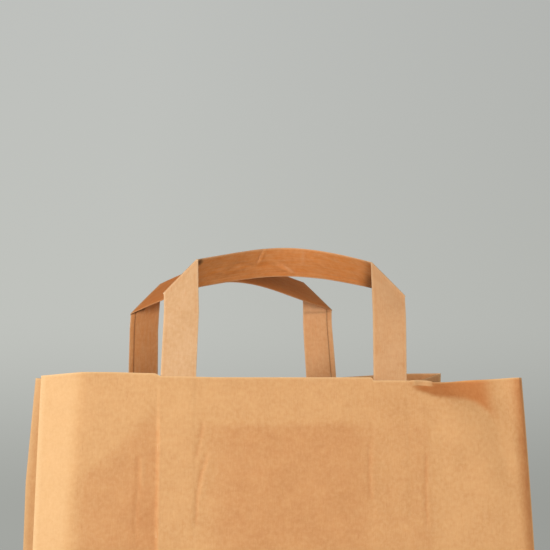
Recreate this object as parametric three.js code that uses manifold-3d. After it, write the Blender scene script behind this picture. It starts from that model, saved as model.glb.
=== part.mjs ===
// A kraft-paper carrier bag: a folded tube with side gussets and a block bottom, and two handles of folded
// paper tape, each glued inside a panel under a paper patch. Millimetres, +Z up, the front panel faces -Y.
// The origin lies in the middle of the base, on the surface that the bag stands on.
import * as THREE from 'three';
import { mergeVertices } from 'three/addons/utils/BufferGeometryUtils.js';
import Module from 'manifold-3d';

const { clamp, lerp, smoothstep, degToRad } = THREE.MathUtils;

// Sheet and bag
const bagWidth = 320; // front and rear panels, along X
const gussetDepth = 170; // each side gusset laid flat, along Y at the base
const bagHeight = 440; // base to rim
const paper = 0.15; // one ply of kraft paper
const glueGap = 0.3; // clearance between glued pieces

// How the opened bag stands
const apexIn = 4; // inward dip of a gusset at the tip of its bottom triangle
const rimCreaseIn = 59; // inward fold of a gusset's middle crease at the rim
const rimSkew = 4; // the front panel's rim leans to +X by this much, the rear panel's to -X
const rearSkewHeight = 260; // height from which the rear panel leans by all of it
const rimLiftFrontLeft = 3; // the rim runs higher at the front left
const frontLiftFull = -104; // place along the front panel up to which that lift is full
const frontLiftNone = -48; // and from which there is none
const bandDrop = 2.2; // but it falls by this much over the bent band, to the front left corner
const rimLiftRearRight = 4; // the rim runs higher at the rear right too
const rearLiftNone = 48; // place along the rear panel up to which there is no lift
const rearLiftFull = 144; // and from which it is full
const gussetSag = 4; // a gusset's rim hangs lower between its corners
const rearCurl = 4.2; // the rear panel's left edge curls in by this much at the rim
const curlHeight = 74; // height over which it does so
const curlWidth = 20; // width of the panel that is pushed in with it

// Bent panel edges, growing from edgeBendStart up to the rim
const edgeBendStart = 130; // height where the bends begin
const bandAngle = degToRad(21.5); // the front panel's left band turns back by this angle
const bandRim = 25; // width of that band at the rim
const bandBase = 8; // and where it begins
const rollRim = 16; // width of the other panel edges' round bend at the rim
const rollBase = 6; // and where it begins
const creaseSpread = 0.15; // share of the band's width, each side of its crease, that rounds the fold

// Dent in the front rim, right of the handle: the paper above a slanting crease is pushed into the bag
const dentStart = 72; // place along the panel of its left end
const dentFull = 90; // from here to the peak it is folded back the most
const dentPeak = 101; // and from here on less and less
const dentEnd = 154; // its right end
const dentCreaseLeft = 2; // depth of the crease below the rim at its left end
const dentCreasePeak = 14; // at the peak
const dentCreaseRight = 76; // at its right end
const dentAngle = degToRad(41); // fold angle at the peak

// Block bottom and the tube's glue seam
const flapLap = 30; // overlap of the two long bottom flaps
const seamPlace = -118; // place of the seam's outer edge along the rear panel
const seamLap = 18; // width of the glued lap

// Handles of folded tape
const tapeWidth = 22;
const tapeThickness = 0.65; // the folded plies together
const tapeSeam = 4; // the last ply's edge, from the tape's outer edge
const handleSpan = 159; // outer edge to outer edge of a handle's two legs
const legDepth = 95; // length of a leg below the rim
const foldRadius = 0.6; // bend of the tape's middle ply at a corner fold

// Each handle stands in its own way. A pair is for the left and the right leg, and the angles are in degrees.
const frontHandle = {
  shift: -9, // place of the handle's middle along the panel
  corner: [51.6, 53.3], // height of a leg's outer corner above the rim
  open: [66, 78], // angle between a leg and the paper that is folded over at its corner
  twist: [0, -8], // turn of a leg about its length, between the patch and the corner
  lean: [2.5, 2.8], // lean of a leg to +X at its corner
  arc: 0.665, // reach of the strip's arch, as a share of the distance between its ends
  drop: 3.2, // how far the arch of the tape's outer edge is pulled down
};
const rearHandle = {
  shift: -6,
  corner: [46.3, 51.2],
  open: [82, 70],
  twist: [13, 18],
  lean: [-1.2, -5.6],
  arc: 0.64,
  drop: 1,
};

// Patches that hold the legs
const patchTop = 30; // depth of the patch's upper edge below the rim
const patchSide = 15.5; // how far it runs past the legs at each side
const patchBelow = 5; // and below them
const patchSlope = 2.5; // width of the paper's slope beside a leg

const halfGusset = gussetDepth / 2;
const halfWidth = bagWidth / 2;

// Form of the standing bag

// Inward fold of a gusset's middle at height z: a tilted triangle at the bottom, then a straight crease.
function creaseIn(z) {
  const aboveApex = (z - halfGusset) / (bagHeight - halfGusset);
  return z < halfGusset ? (apexIn * z) / halfGusset : lerp(apexIn, rimCreaseIn, aboveApex);
}

// Half the distance between the front and rear corner creases: the folded gusset keeps its length.
function halfDepth(z) {
  const folded = Math.min(z, halfGusset);
  return halfGusset - folded + Math.sqrt(folded ** 2 - creaseIn(z) ** 2);
}

const bendShare = (z) => clamp((z - edgeBendStart) / (bagHeight - edgeBendStart), 0, 1);
const bandWidth = (z) => lerp(bandBase, bandRim, bendShare(z));
const rollWidth = (z) => lerp(rollBase, rollRim, bendShare(z));
const panelBow = (z) => bandRim * Math.sin(bandAngle) * bendShare(z);
const frontSkew = (z) => rimSkew * (z / bagHeight) ** 2;
const rearSkew = (z) => rimSkew * clamp(z / rearSkewHeight, 0, 1);

// How far out a panel has come at distance d from its edge, and how much of its width the bend has taken.
function bandEdge(d, z) {
  const share = clamp(d / bandWidth(z), 0, 1);
  const taken = bandWidth(z) * (1 - Math.cos(bandAngle * bendShare(z)));
  return { out: panelBow(z) * share, taken: taken * (1 - share) };
}

function roundEdge(d, z) {
  const share = clamp(d / rollWidth(z), 0, 1);
  const taken = (panelBow(z) * Math.PI / 4) ** 2 / rollWidth(z);
  return { out: panelBow(z) * Math.sin((share * Math.PI) / 2), taken: taken * (1 - share) };
}

// A point of a panel's middle surface, at distance q from its centre line along the sheet and at height z.
function frontPanel(q, z) {
  const left = bandEdge(halfWidth + q, z);
  const right = roundEdge(halfWidth - q, z);
  const out = Math.min(left.out, right.out);
  return new THREE.Vector3(q + left.taken - right.taken + frontSkew(z), -halfDepth(z) - out, z);
}

function rearPanel(q, z) {
  const left = roundEdge(halfWidth + q, z);
  const right = roundEdge(halfWidth - q, z);
  const out = Math.min(left.out, right.out);
  const curl = rearCurl * clamp((z - bagHeight + curlHeight) / curlHeight, 0, 1);
  const curled = curl * clamp(1 - (halfWidth + q) / curlWidth, 0, 1);
  return new THREE.Vector3(q + left.taken - right.taken + curled - rearSkew(z), halfDepth(z) + out, z);
}

// Depth below the rim of the row of the sheet that follows the dent's crease.
function creaseDepth(q) {
  const leftShare = clamp((q - dentStart) / (dentPeak - dentStart), 0, 1);
  const rightShare = clamp((q - dentPeak) / (dentEnd - dentPeak), 0, 1);
  return q < dentPeak
    ? lerp(dentCreaseLeft, dentCreasePeak, Math.sin((leftShare * Math.PI) / 2))
    : lerp(dentCreasePeak, dentCreaseRight, rightShare ** 3);
}

// Folds the paper above the dent's crease into the bag.
function dented(point, q) {
  const flap = Math.max(point.z - bagHeight + creaseDepth(q), 0);
  const fadeRight = clamp((dentEnd - q) / (dentEnd - dentPeak), 0, 1);
  const share = Math.min(smoothstep(q, dentStart, dentFull), fadeRight);
  point.y += flap * Math.sin(dentAngle * share);
  point.z -= flap * (1 - Math.cos(dentAngle * share));
  return point;
}

// A point of half a gusset: share 0 lies on the panel's corner crease and 1 on the gusset's middle.
function gussetPoint(corner, middle, share) {
  const belowApex = Math.max(halfGusset - corner.z, 0);
  const diagonal = middle.clone();
  diagonal.y += Math.sign(corner.y) * belowApex;
  const diagonalShare = 1 - belowApex / halfGusset;
  return share < diagonalShare
    ? corner.clone().lerp(diagonal, share / diagonalShare)
    : diagonal.lerp(middle, belowApex ? (share - diagonalShare) / (1 - diagonalShare) : 1);
}

// Solids from surfaces

const evenly = (from, to, steps) => Array.from({ length: steps + 1 }, (_, k) => lerp(from, to, k / steps));
const flipped = (faces) => faces.map(([a, b, c]) => [a, c, b]);

function geometryOf(points, faces) {
  const geometry = new THREE.BufferGeometry();
  geometry.setAttribute('position', new THREE.Float32BufferAttribute(points.flatMap((p) => p.toArray()), 3));
  geometry.setIndex(faces.flat());
  return geometry;
}

// Two triangles for each cell between neighbouring rows of a grid, whose point numbers are given by at.
function cellFaces(rows, columns, closed, at) {
  const faces = [];
  for (let j = 0; j < rows - 1; j += 1) {
    for (let i = 0; i < (closed ? columns : columns - 1); i += 1) {
      const k = (i + 1) % columns;
      faces.push([at(j, i), at(j, k), at(j + 1, k)], [at(j, i), at(j + 1, k), at(j + 1, i)]);
    }
  }
  return faces;
}

// The move that lifts a sheet's face by one unit at a grid point, mitred where the sheet is creased.
function liftAt(grid, j, i, closed) {
  const row = grid[j];
  const last = row.length - 1;
  const before = row[i > 0 ? i - 1 : closed ? last : 0];
  const after = row[i < last ? i + 1 : closed ? 0 : last];
  const climb = grid[Math.min(j + 1, grid.length - 1)][i].clone().sub(grid[Math.max(j - 1, 0)][i]);
  const normals = [row[i].clone().sub(before), after.clone().sub(row[i])]
    .filter((step) => step.lengthSq() > 0)
    .map((step) => step.cross(climb).normalize());
  const mean = normals.reduce((sum, n) => sum.add(n), new THREE.Vector3()).normalize();
  return mean.divideScalar(mean.dot(normals[0]));
}

const liftGrid = (grid, closed, height) =>
  grid.map((row, j) => row.map((p, i) => p.clone().addScaledVector(liftAt(grid, j, i, closed), height(i))));

// A sheet of even thickness about a grid of points, closed along its four edges.
function sheetSolid(grid, thickness) {
  const rows = grid.length;
  const columns = grid[0].length;
  const faceUp = liftGrid(grid, false, () => thickness / 2).flat();
  const faceDown = liftGrid(grid, false, () => -thickness / 2).flat();
  const up = (j, i) => j * columns + i;
  const down = (j, i) => faceUp.length + up(j, i);
  const faces = [...cellFaces(rows, columns, false, up), ...flipped(cellFaces(rows, columns, false, down))];
  const border = [
    ...evenly(0, columns - 2, columns - 2).map((i) => [0, i]),
    ...evenly(0, rows - 2, rows - 2).map((j) => [j, columns - 1]),
    ...evenly(columns - 1, 1, columns - 2).map((i) => [rows - 1, i]),
    ...evenly(rows - 1, 1, rows - 2).map((j) => [j, 0]),
  ];
  border.forEach((here, k) => {
    const next = border[(k + 1) % border.length];
    faces.push([up(...here), down(...here), down(...next)], [up(...here), down(...next), up(...next)]);
  });
  return geometryOf([...faceUp, ...faceDown], faces);
}

// Bag body

const flapPlies = 2; // the two bottom flaps lie under the floor's ply
const floorLevel = flapPlies * paper;
const gussetCells = 4; // cells across half a gusset, so that its bottom diagonal runs along grid points
const wallCells = 9; // cells up the wall above the gussets' bottom triangles
const topCell = 12; // distance of the last level row from the dent's lowest point
const slantCells = 2; // cells from that row up to the dent's crease
const dentedCells = 2; // cells from the crease up to the rim
const panelCells = 12; // cells along the front panel from its left band to the dent
const dentCells = 9; // cells along the dent
const rearCells = 9; // cells along the rear panel from its right bend to the seam
const rollCells = 3; // cells across a round bend
const seamStep = 0.1; // run of the step at the seam's edge

const dentFoot = bagHeight - dentCreaseRight - topCell;
const levelRows = [
  floorLevel,
  ...evenly(0, halfGusset, gussetCells).slice(1),
  ...evenly(halfGusset, dentFoot, wallCells).slice(1),
].map((z) => () => z);
const creaseHeight = (q) => bagHeight - creaseDepth(q);
const sharesOf = (cells) => evenly(0, 1, cells).slice(1);
const slantRows = sharesOf(slantCells).map((share) => (q) => lerp(dentFoot, creaseHeight(q), share));
const rimRows = sharesOf(dentedCells).map((share) => (q) => lerp(creaseHeight(q), bagHeight, share));

// Places along the front panel from left to right and along the rear panel from right to left, without the
// last corner of each, which belongs to the next gusset.
function frontPlaces(z) {
  const bandFold = evenly(0, 1 - creaseSpread, 2).map((share) => share * bandWidth(z) - halfWidth);
  const roll = evenly(rollWidth(z), 0, rollCells).map((d) => halfWidth - d);
  return [
    ...bandFold,
    ...evenly((1 + creaseSpread) * bandWidth(z) - halfWidth, dentStart, panelCells),
    ...evenly(dentStart, halfWidth - rollWidth(z), dentCells).slice(1),
    ...roll.slice(1, -1),
  ];
}

function rearPlaces(z) {
  const roll = evenly(0, rollWidth(z), rollCells).map((d) => halfWidth - d);
  return [
    ...roll.slice(0, -1),
    ...evenly(halfWidth - rollWidth(z), seamPlace, rearCells),
    seamPlace - seamStep,
    seamPlace - seamLap,
    ...roll.slice(1).reverse().map((q) => -q),
  ];
}

// The rim runs higher at two places. The lift fades out down the wall.
const fadeDown = (z) => (z / bagHeight) ** 4;
function frontLift(q, z) {
  const lift = rimLiftFrontLeft * (1 - smoothstep(q, frontLiftFull, frontLiftNone));
  return fadeDown(z) * (lift - bandDrop * clamp(1 - (halfWidth + q) / bandRim, 0, 1));
}
const rearLift = (q, z) => rimLiftRearRight * fadeDown(z) * smoothstep(q, rearLiftNone, rearLiftFull);

// The panels' corner at one side, and that side's gusset from the front corner to the rear one.
function gussetRow(side, z) {
  const front = frontPanel(side * halfWidth, z);
  const rear = rearPanel(side * halfWidth, z);
  const middle = front.clone().lerp(rear, 0.5);
  middle.x -= side * creaseIn(z);
  const shares = evenly(0, 1, gussetCells);
  const points = [
    ...shares.map((share) => gussetPoint(front, middle, share)),
    ...shares.slice(0, -1).reverse().map((share) => gussetPoint(rear, middle, share)),
  ];
  points.forEach((p, k) => {
    const rearShare = k / (points.length - 1);
    p.z += lerp(frontLift(side * halfWidth, z), rearLift(side * halfWidth, z), rearShare ** 2);
    p.z -= gussetSag * fadeDown(z) * Math.sin(rearShare * Math.PI);
  });
  return points;
}

// One row of the sheet, once round the bag, as seen from above against the clock from the front left corner.
function wallRow(heightAt) {
  const front = frontPlaces(heightAt(0)).map((q) => {
    const point = dented(frontPanel(q, heightAt(q)), q);
    point.z += frontLift(q, heightAt(q));
    return point;
  });
  const rear = rearPlaces(heightAt(0)).map((q) => {
    const point = rearPanel(q, heightAt(q));
    point.z += rearLift(q, heightAt(q));
    return point;
  });
  const right = gussetRow(1, heightAt(halfWidth));
  const left = gussetRow(-1, heightAt(-halfWidth)).reverse();
  return [...front, ...right.slice(0, -1), ...rear, ...left.slice(0, -1)];
}

// The walls and the floor as one shell: outer face, inner face, rim, and a fan for each side of the floor.
function shellGeometry() {
  const grid = [...levelRows, ...slantRows, ...rimRows].map(wallRow);
  const rows = grid.length;
  const columns = grid[0].length;
  const firstRear = frontPlaces(0).length + 2 * gussetCells;
  const rearList = rearPlaces(0);
  const inLap = (q) => q < seamPlace && q > seamPlace - seamLap;
  const proud = (i) => (inLap(rearList[i - firstRear]) ? paper : 0);
  const outside = liftGrid(grid, true, (i) => paper / 2 + proud(i));
  const inside = liftGrid(grid, true, () => -paper / 2);
  inside[0].forEach((p) => {
    p.z += paper;
  });
  const points = [...outside.flat(), ...inside.flat()];
  const out = (j, i) => j * columns + i;
  const inn = (j, i) => rows * columns + out(j, i);
  const underside = points.push(new THREE.Vector3(0, 0, floorLevel)) - 1;
  const floor = points.push(new THREE.Vector3(0, 0, floorLevel + paper)) - 1;
  const faces = [...cellFaces(rows, columns, true, out), ...flipped(cellFaces(rows, columns, true, inn))];
  for (let i = 0; i < columns; i += 1) {
    const k = (i + 1) % columns;
    const top = rows - 1;
    faces.push([out(top, i), out(top, k), inn(top, k)], [out(top, i), inn(top, k), inn(top, i)]);
    faces.push([out(0, k), out(0, i), underside], [inn(0, i), inn(0, k), floor]);
  }
  return geometryOf(points, faces);
}

// A long bottom flap: a trapezium whose ends are folded in along the corners' diagonals.
function flapGeometry(level) {
  const reach = halfGusset + flapLap / 2;
  const outline = new THREE.Shape([
    new THREE.Vector2(-halfWidth, -halfGusset),
    new THREE.Vector2(halfWidth, -halfGusset),
    new THREE.Vector2(halfWidth - reach, reach - halfGusset),
    new THREE.Vector2(reach - halfWidth, reach - halfGusset),
  ]);
  const depth = floorLevel + paper / 2 - level;
  return new THREE.ExtrudeGeometry(outline, { depth, bevelEnabled: false }).translate(0, 0, level);
}

const wasm = await Module();
wasm.setup();

function solidOf(geometry) {
  const bare = geometry.clone();
  bare.deleteAttribute('normal');
  bare.deleteAttribute('uv');
  const merged = mergeVertices(bare, paper / 100);
  const vertProperties = new Float32Array(merged.attributes.position.array);
  const triVerts = new Uint32Array(merged.index.array);
  return new wasm.Manifold(new wasm.Mesh({ numProp: 3, vertProperties, triVerts }));
}

function bodyGeometry() {
  const frontFlap = flapGeometry(0);
  const rearFlap = flapGeometry(paper).rotateZ(Math.PI);
  const mesh = solidOf(shellGeometry()).add(solidOf(rearFlap)).add(solidOf(frontFlap)).getMesh();
  const geometry = new THREE.BufferGeometry();
  geometry.setAttribute('position', new THREE.BufferAttribute(mesh.vertProperties, mesh.numProp));
  geometry.setIndex(new THREE.BufferAttribute(mesh.triVerts, 1));
  return geometry;
}

// Handles

const legInset = paper / 2 + glueGap + tapeThickness / 2; // the tape's middle, from the panel's middle
const gluedCells = 3; // cells along a leg's glued length
const freeCells = 5; // cells along its free length
const fanCells = 2; // cells from its last level ruling to the corner's diagonal
const cornerCells = 5; // cells round a corner fold
const stripCells = 22; // cells along the strip

// The tape is laid out as rulings, each from the tape's outer or lower edge to its inner or upper edge.
// One leg, from its glued end to the diagonal of its corner fold, then round the fold towards the strip.
function legRulings(panel, inward, handle, side) {
  const leg = side < 0 ? 0 : 1;
  const place = handle.shift + (side * (handleSpan - tapeWidth)) / 2;
  const cornerZ = bagHeight + handle.corner[leg];
  const fanZ = cornerZ - tapeWidth / 2;
  const freeZ = bagHeight - patchTop;
  const freeShare = (z) => clamp((z - freeZ) / (fanZ - freeZ), 0, 1);
  const turnAt = (z) => degToRad(handle.twist[leg]) * freeShare(z);
  const acrossAt = (z) => new THREE.Vector3(-side * Math.cos(turnAt(z)), -inward * Math.sin(turnAt(z)), 0);
  const centreAt = (z) => {
    const centre = panel(place, z);
    centre.x += handle.lean[leg] * freeShare(z);
    centre.y += inward * (legInset + (Math.abs(Math.sin(turnAt(z))) * tapeWidth) / 2);
    return centre;
  };
  const level = (z) => {
    const half = acrossAt(z).multiplyScalar(tapeWidth / 2);
    return [centreAt(z).sub(half), centreAt(z).add(half)];
  };
  const across = acrossAt(fanZ);
  const up = centreAt(fanZ).sub(centreAt(freeZ)).projectOnPlane(across).normalize();
  const inside = across.clone().cross(up).multiplyScalar(side * inward);
  const outerAt = (s) => level(fanZ)[0].addScaledVector(up, (s * tapeWidth) / 2);
  const innerAt = (s) => level(fanZ)[1].addScaledVector(up, (s * 3 * tapeWidth) / 2);
  const along = across.clone().add(up).normalize();
  const past = up.clone().sub(across).normalize();
  const open = degToRad(handle.open[leg]);
  const bend = evenly(0, Math.PI - open, cornerCells).slice(1).map((turn) => {
    const move = inside.clone().multiplyScalar(foldRadius * (1 - Math.cos(turn)));
    move.addScaledVector(past, foldRadius * Math.sin(turn));
    return [outerAt(1).add(move), innerAt(1).add(move)];
  });
  const leaving = inside.clone().multiplyScalar(Math.sin(open)).addScaledVector(past, -Math.cos(open));
  return {
    rulings: [
      ...evenly(bagHeight - legDepth, freeZ, gluedCells).map(level),
      ...evenly(freeZ, fanZ, freeCells).slice(1).map(level),
      ...evenly(0, 1, fanCells).slice(1).map((s) => [outerAt(s), innerAt(s)]),
      ...bend,
    ],
    direction: along.add(leaving).normalize(),
  };
}

// An edge of the strip, an arc that leaves both corner folds along the tape.
function stripEdge(start, startDirection, end, endDirection, arc, drop) {
  const reach = arc * start.distanceTo(end);
  const rise = start.clone().addScaledVector(startDirection, reach);
  const fall = end.clone().addScaledVector(endDirection, reach);
  rise.z -= drop;
  fall.z -= drop;
  return new THREE.CubicBezierCurve3(start, rise, fall, end);
}

// The tape's section: place across the tape and height over its middle, with the last ply's edge as a step.
const tapeSection = [
  [0, tapeThickness / 2],
  [tapeWidth, tapeThickness / 2],
  [tapeWidth, -tapeThickness / 2],
  [tapeSeam, -tapeThickness / 2],
  [tapeSeam, paper - tapeThickness / 2],
  [0, paper - tapeThickness / 2],
];
const sectionFan = [[4, 5, 0], [4, 0, 1], [4, 1, 2], [4, 2, 3]];

// Sweeps the section along the rulings.
function ribbonGeometry(rulings) {
  const last = rulings.length - 1;
  const size = tapeSection.length;
  const points = rulings.flatMap(([outer, inner], i) => {
    const before = rulings[Math.max(i - 1, 0)];
    const after = rulings[Math.min(i + 1, last)];
    const across = inner.clone().sub(outer);
    const normals = [0, 1].map((edge) => {
      const step = after[edge].clone().sub(before[edge]);
      return across.clone().cross(step).normalize();
    });
    return tapeSection.map(([place, height]) => {
      const share = place / tapeWidth;
      const normal = normals[0].clone().lerp(normals[1], share).normalize();
      return outer.clone().lerp(inner, share).addScaledVector(normal, height);
    });
  });
  const at = (j, i) => j * size + i;
  const faces = cellFaces(rulings.length, size, true, at);
  faces.push(...flipped(sectionFan), ...sectionFan.map((face) => face.map((k) => at(last, k))));
  return geometryOf(points, faces);
}

// A handle, seen from outside the bag: up one leg, along the strip and down the other leg.
function handleGeometry(panel, inward, handle) {
  const order = inward > 0 ? [-1, 1] : [1, -1];
  const [first, second] = order.map((side) => legRulings(panel, inward, handle, side));
  const starts = first.rulings.at(-1);
  const ends = second.rulings.at(-1);
  const edges = [handle.drop, 0].map((drop, k) =>
    stripEdge(starts[k], first.direction, ends[k], second.direction, handle.arc, drop),
  );
  const strip = evenly(0, 1, stripCells).slice(1, -1).map((s) => edges.map((edge) => edge.getPoint(s)));
  return ribbonGeometry([...first.rulings, ...strip, ...second.rulings.reverse()]);
}

// Patches

// The patch lies on the panel and climbs over each leg. Its places say whether they lie over a leg.
function patchGeometry(panel, inward, handle) {
  const outer = handleSpan / 2 + glueGap;
  const inner = handleSpan / 2 - tapeWidth - glueGap;
  const half = [
    { q: inner - patchSlope, over: false },
    { q: inner, over: true },
    { q: outer, over: true },
    { q: outer + patchSlope, over: false },
    { q: handleSpan / 2 + patchSide, over: false },
  ];
  const mirrored = half.map(({ q, over }) => ({ q: -q, over })).reverse();
  const columns = [...mirrored, ...half];
  const rows = [
    { depth: legDepth + patchBelow, over: false },
    { depth: legDepth + glueGap + patchSlope, over: false },
    ...evenly(legDepth + glueGap, patchTop, gluedCells).map((depth) => ({ depth, over: true })),
  ];
  const onPanel = paper + glueGap;
  const onLeg = onPanel + tapeThickness + glueGap;
  const grid = rows.map((row) =>
    columns.map((column) => {
      const point = panel(handle.shift + column.q, bagHeight - row.depth);
      point.y += inward * (row.over && column.over ? onLeg : onPanel);
      return point;
    }),
  );
  return sheetSolid(grid, paper);
}

// Scene

function piece(name, geometry, color, roughness) {
  const mesh = new THREE.Mesh(geometry, new THREE.MeshStandardMaterial({ color, roughness, metalness: 0 }));
  mesh.name = name;
  geometry.computeVertexNormals();
  return mesh;
}

const carrierBag = new THREE.Group();
carrierBag.name = 'paper_carrier_bag';
carrierBag.add(
  piece('bag_body', bodyGeometry(), 0xdfab74, 0.85),
  piece('front_handle', handleGeometry(frontPanel, 1, frontHandle), 0xd9a674, 0.85),
  piece('rear_handle', handleGeometry(rearPanel, -1, rearHandle), 0xd9a674, 0.85),
  piece('front_handle_patch', patchGeometry(frontPanel, 1, frontHandle), 0xd5a06b, 0.9),
  piece('rear_handle_patch', patchGeometry(rearPanel, -1, rearHandle), 0xd5a06b, 0.9),
);

export default carrierBag;
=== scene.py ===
# %% [markdown]
# # A kraft-paper carrier bag
# A carrier bag of this kind is one sheet of brown kraft paper, folded and glued into a tube with side gussets
# and a block bottom. Two handles of folded paper tape are glued inside it, each under a paper patch. The
# frame gives five rigid solids for these five pieces. This lesson makes the paper that is seen in their
# place: the same forms with the soft bends, puckers, rubbed folds and fibres of real paper. Paper hardly
# stretches, so every piece is laid out in flat sheet coordinates first and then folded, and its pattern
# follows the sheet.

# %% Load the frame
import math

import bmesh
import bpy
import numpy as np
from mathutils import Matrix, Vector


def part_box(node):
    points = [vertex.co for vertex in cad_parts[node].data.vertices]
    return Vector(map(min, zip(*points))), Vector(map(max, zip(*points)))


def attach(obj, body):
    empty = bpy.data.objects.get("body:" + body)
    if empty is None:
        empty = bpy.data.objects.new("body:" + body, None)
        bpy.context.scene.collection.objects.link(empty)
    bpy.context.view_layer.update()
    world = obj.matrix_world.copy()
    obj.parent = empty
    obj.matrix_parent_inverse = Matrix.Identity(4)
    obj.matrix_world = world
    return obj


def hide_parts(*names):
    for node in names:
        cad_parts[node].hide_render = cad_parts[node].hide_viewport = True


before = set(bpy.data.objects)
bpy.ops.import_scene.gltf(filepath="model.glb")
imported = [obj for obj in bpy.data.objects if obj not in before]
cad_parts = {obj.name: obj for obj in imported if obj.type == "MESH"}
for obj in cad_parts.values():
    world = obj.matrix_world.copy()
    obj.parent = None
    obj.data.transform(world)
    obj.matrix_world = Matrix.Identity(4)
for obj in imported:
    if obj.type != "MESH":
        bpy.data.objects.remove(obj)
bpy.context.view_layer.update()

# %% [markdown]
# ## How the opened bag stands
# A folded bag never opens to a true box. Its gussets keep a crease that pulls the rim's short sides in, so
# the panels lean towards each other, and the panels' edges bend back a little. These are the named sizes that
# the solids are made from, in millimetres, so the paper lies where the solids are. Only the rim's short step
# at the left leg and its dip at the right leg are finer than the solids, and are added here.

# %% Sizes of the bag in millimetres
MM = 0.001
BAG_WIDTH = 320
GUSSET_DEPTH = 170
BAG_HEIGHT = 440
PAPER = 0.15
GLUE_GAP = 0.3
HALF_WIDTH = BAG_WIDTH / 2
HALF_GUSSET = GUSSET_DEPTH / 2

APEX_IN = 4  # dip of a gusset at the tip of its bottom triangle
RIM_CREASE_IN = 59  # inward fold of a gusset's crease at the rim
RIM_SKEW = 4  # the two panels lean this far sideways, in opposite ways
REAR_SKEW_HEIGHT = 260  # height from which the rear panel leans by all of it
FRONT_LIFT = 3  # the front rim is higher by this much at the left
LIFT_LOST = ((0.2, -120, -92), (0.6, -91.5, -86.5), (0.2, -86, -48))  # shares of it, lost between two places
BAND_DROP = 2.2  # the front rim falls by this much over the bent band
RIM_DIP = 2  # and is lower by this much before the right leg
DIP_START, DIP_END = (47.6, 49.4), (73, 86)  # places along the panel where the dip begins and ends
DIP_FOOT = 395  # height above which the paper dips
REAR_LIFT = (4, 48, 144)  # the rear rim is higher by this much, none up to a place, all of it from the next
GUSSET_SAG = 4  # a gusset's rim hangs lower between its corners
REAR_CURL = (4.2, 74, 20)  # the rear panel's left edge curls in by this much, over this height and width
EDGE_BEND_START = 130  # height where the panels' edges begin to bend
BAND_ANGLE = math.radians(21.5)  # the front panel's left band turns back by this angle
BAND_WIDTHS = (8, 25)  # width of that band where it begins and at the rim
ROLL_WIDTHS = (6, 16)  # the same for the round bend of the other edges
BAND_SOFTNESS = 0.22  # half-width of the band's rounded fold, as a share of the band

print("the tube's sheet is", 2 * (BAG_WIDTH + GUSSET_DEPTH), "mm round without its seam")


# %% Edges of the panels
def lerp(a, b, share):
    return a + (b - a) * share


def smoothstep(x, low, high):
    share = np.clip((x - low) / (high - low), 0, 1)
    return share * share * (3 - 2 * share)


def stacked(*parts):
    return np.stack(np.broadcast_arrays(*parts), axis=-1)


def crease_in(z):
    above = lerp(APEX_IN, RIM_CREASE_IN, (z - HALF_GUSSET) / (BAG_HEIGHT - HALF_GUSSET))
    return np.where(z < HALF_GUSSET, APEX_IN * z / HALF_GUSSET, above)


def half_depth(z):
    folded = np.minimum(z, HALF_GUSSET)
    return HALF_GUSSET - folded + np.sqrt(folded**2 - crease_in(z) ** 2)


def bend_share(z):
    return np.clip((z - EDGE_BEND_START) / (BAG_HEIGHT - EDGE_BEND_START), 0, 1)


def band_width(z):
    return lerp(*BAND_WIDTHS, bend_share(z))


def roll_width(z):
    return lerp(*ROLL_WIDTHS, bend_share(z))


def panel_bow(z):
    return BAND_WIDTHS[1] * math.sin(BAND_ANGLE) * bend_share(z)


def band_edge(d, z):
    """How far the band's fold stands out at a distance from the edge, and how much width its bend takes."""
    share = d / band_width(z)
    inside = np.clip(share - 1 + BAND_SOFTNESS, 0, 2 * BAND_SOFTNESS)
    rounded = np.minimum(share, 1 + BAND_SOFTNESS) - inside**2 / (4 * BAND_SOFTNESS)
    taken = band_width(z) * (1 - np.cos(BAND_ANGLE * bend_share(z)))
    return panel_bow(z) * rounded, taken * (1 - np.clip(share, 0, 1))


def round_edge(d, z):
    """The same for a round edge."""
    share = np.clip(d / roll_width(z), 0, 1)
    taken = (panel_bow(z) * math.pi / 4) ** 2 / roll_width(z)
    return panel_bow(z) * np.sin(share * math.pi / 2), taken * (1 - share)


print("rim opening front to back:", round(float(2 * half_depth(BAG_HEIGHT)), 1), "mm")


# %% Panels as formulas
def front_panel(q, z):
    """Points of the flat front panel, from the place q along it and the height z."""
    left_out, left_taken = band_edge(HALF_WIDTH + q, z)
    right_out, right_taken = round_edge(HALF_WIDTH - q, z)
    x = q + left_taken - right_taken + RIM_SKEW * (z / BAG_HEIGHT) ** 2
    return stacked(x, -half_depth(z) - np.minimum(left_out, right_out), z)


def rear_panel(q, z):
    left_out, left_taken = round_edge(HALF_WIDTH + q, z)
    right_out, right_taken = round_edge(HALF_WIDTH - q, z)
    curl, height, width = REAR_CURL
    curl = curl * np.clip((z - BAG_HEIGHT + height) / height, 0, 1)
    curled = curl * np.clip(1 - (HALF_WIDTH + q) / width, 0, 1)
    x = q + left_taken - right_taken + curled - RIM_SKEW * np.clip(z / REAR_SKEW_HEIGHT, 0, 1)
    return stacked(x, half_depth(z) + np.minimum(left_out, right_out), z)


LIFT_FADE = 4  # the lifts of the rim fade down the walls by this power of the height


def fade_down(z):
    return (z / BAG_HEIGHT) ** LIFT_FADE


def front_lift(q, z):
    """The front rim's lift at the left, most of it lost in a short step, and its dip before the right leg."""
    lost = sum(share * smoothstep(q, start, end) for share, start, end in LIFT_LOST)
    drop = BAND_DROP * np.clip(1 - (HALF_WIDTH + q) / BAND_WIDTHS[1], 0, 1)
    dip = RIM_DIP * (smoothstep(q, *DIP_START) - smoothstep(q, *DIP_END))
    dip = dip * smoothstep(z, DIP_FOOT, BAG_HEIGHT)
    return fade_down(z) * (FRONT_LIFT * (1 - lost) - drop) - dip


def rear_lift(q, z):
    lift, start, end = REAR_LIFT
    return lift * fade_down(z) * smoothstep(q, start, end)


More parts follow.
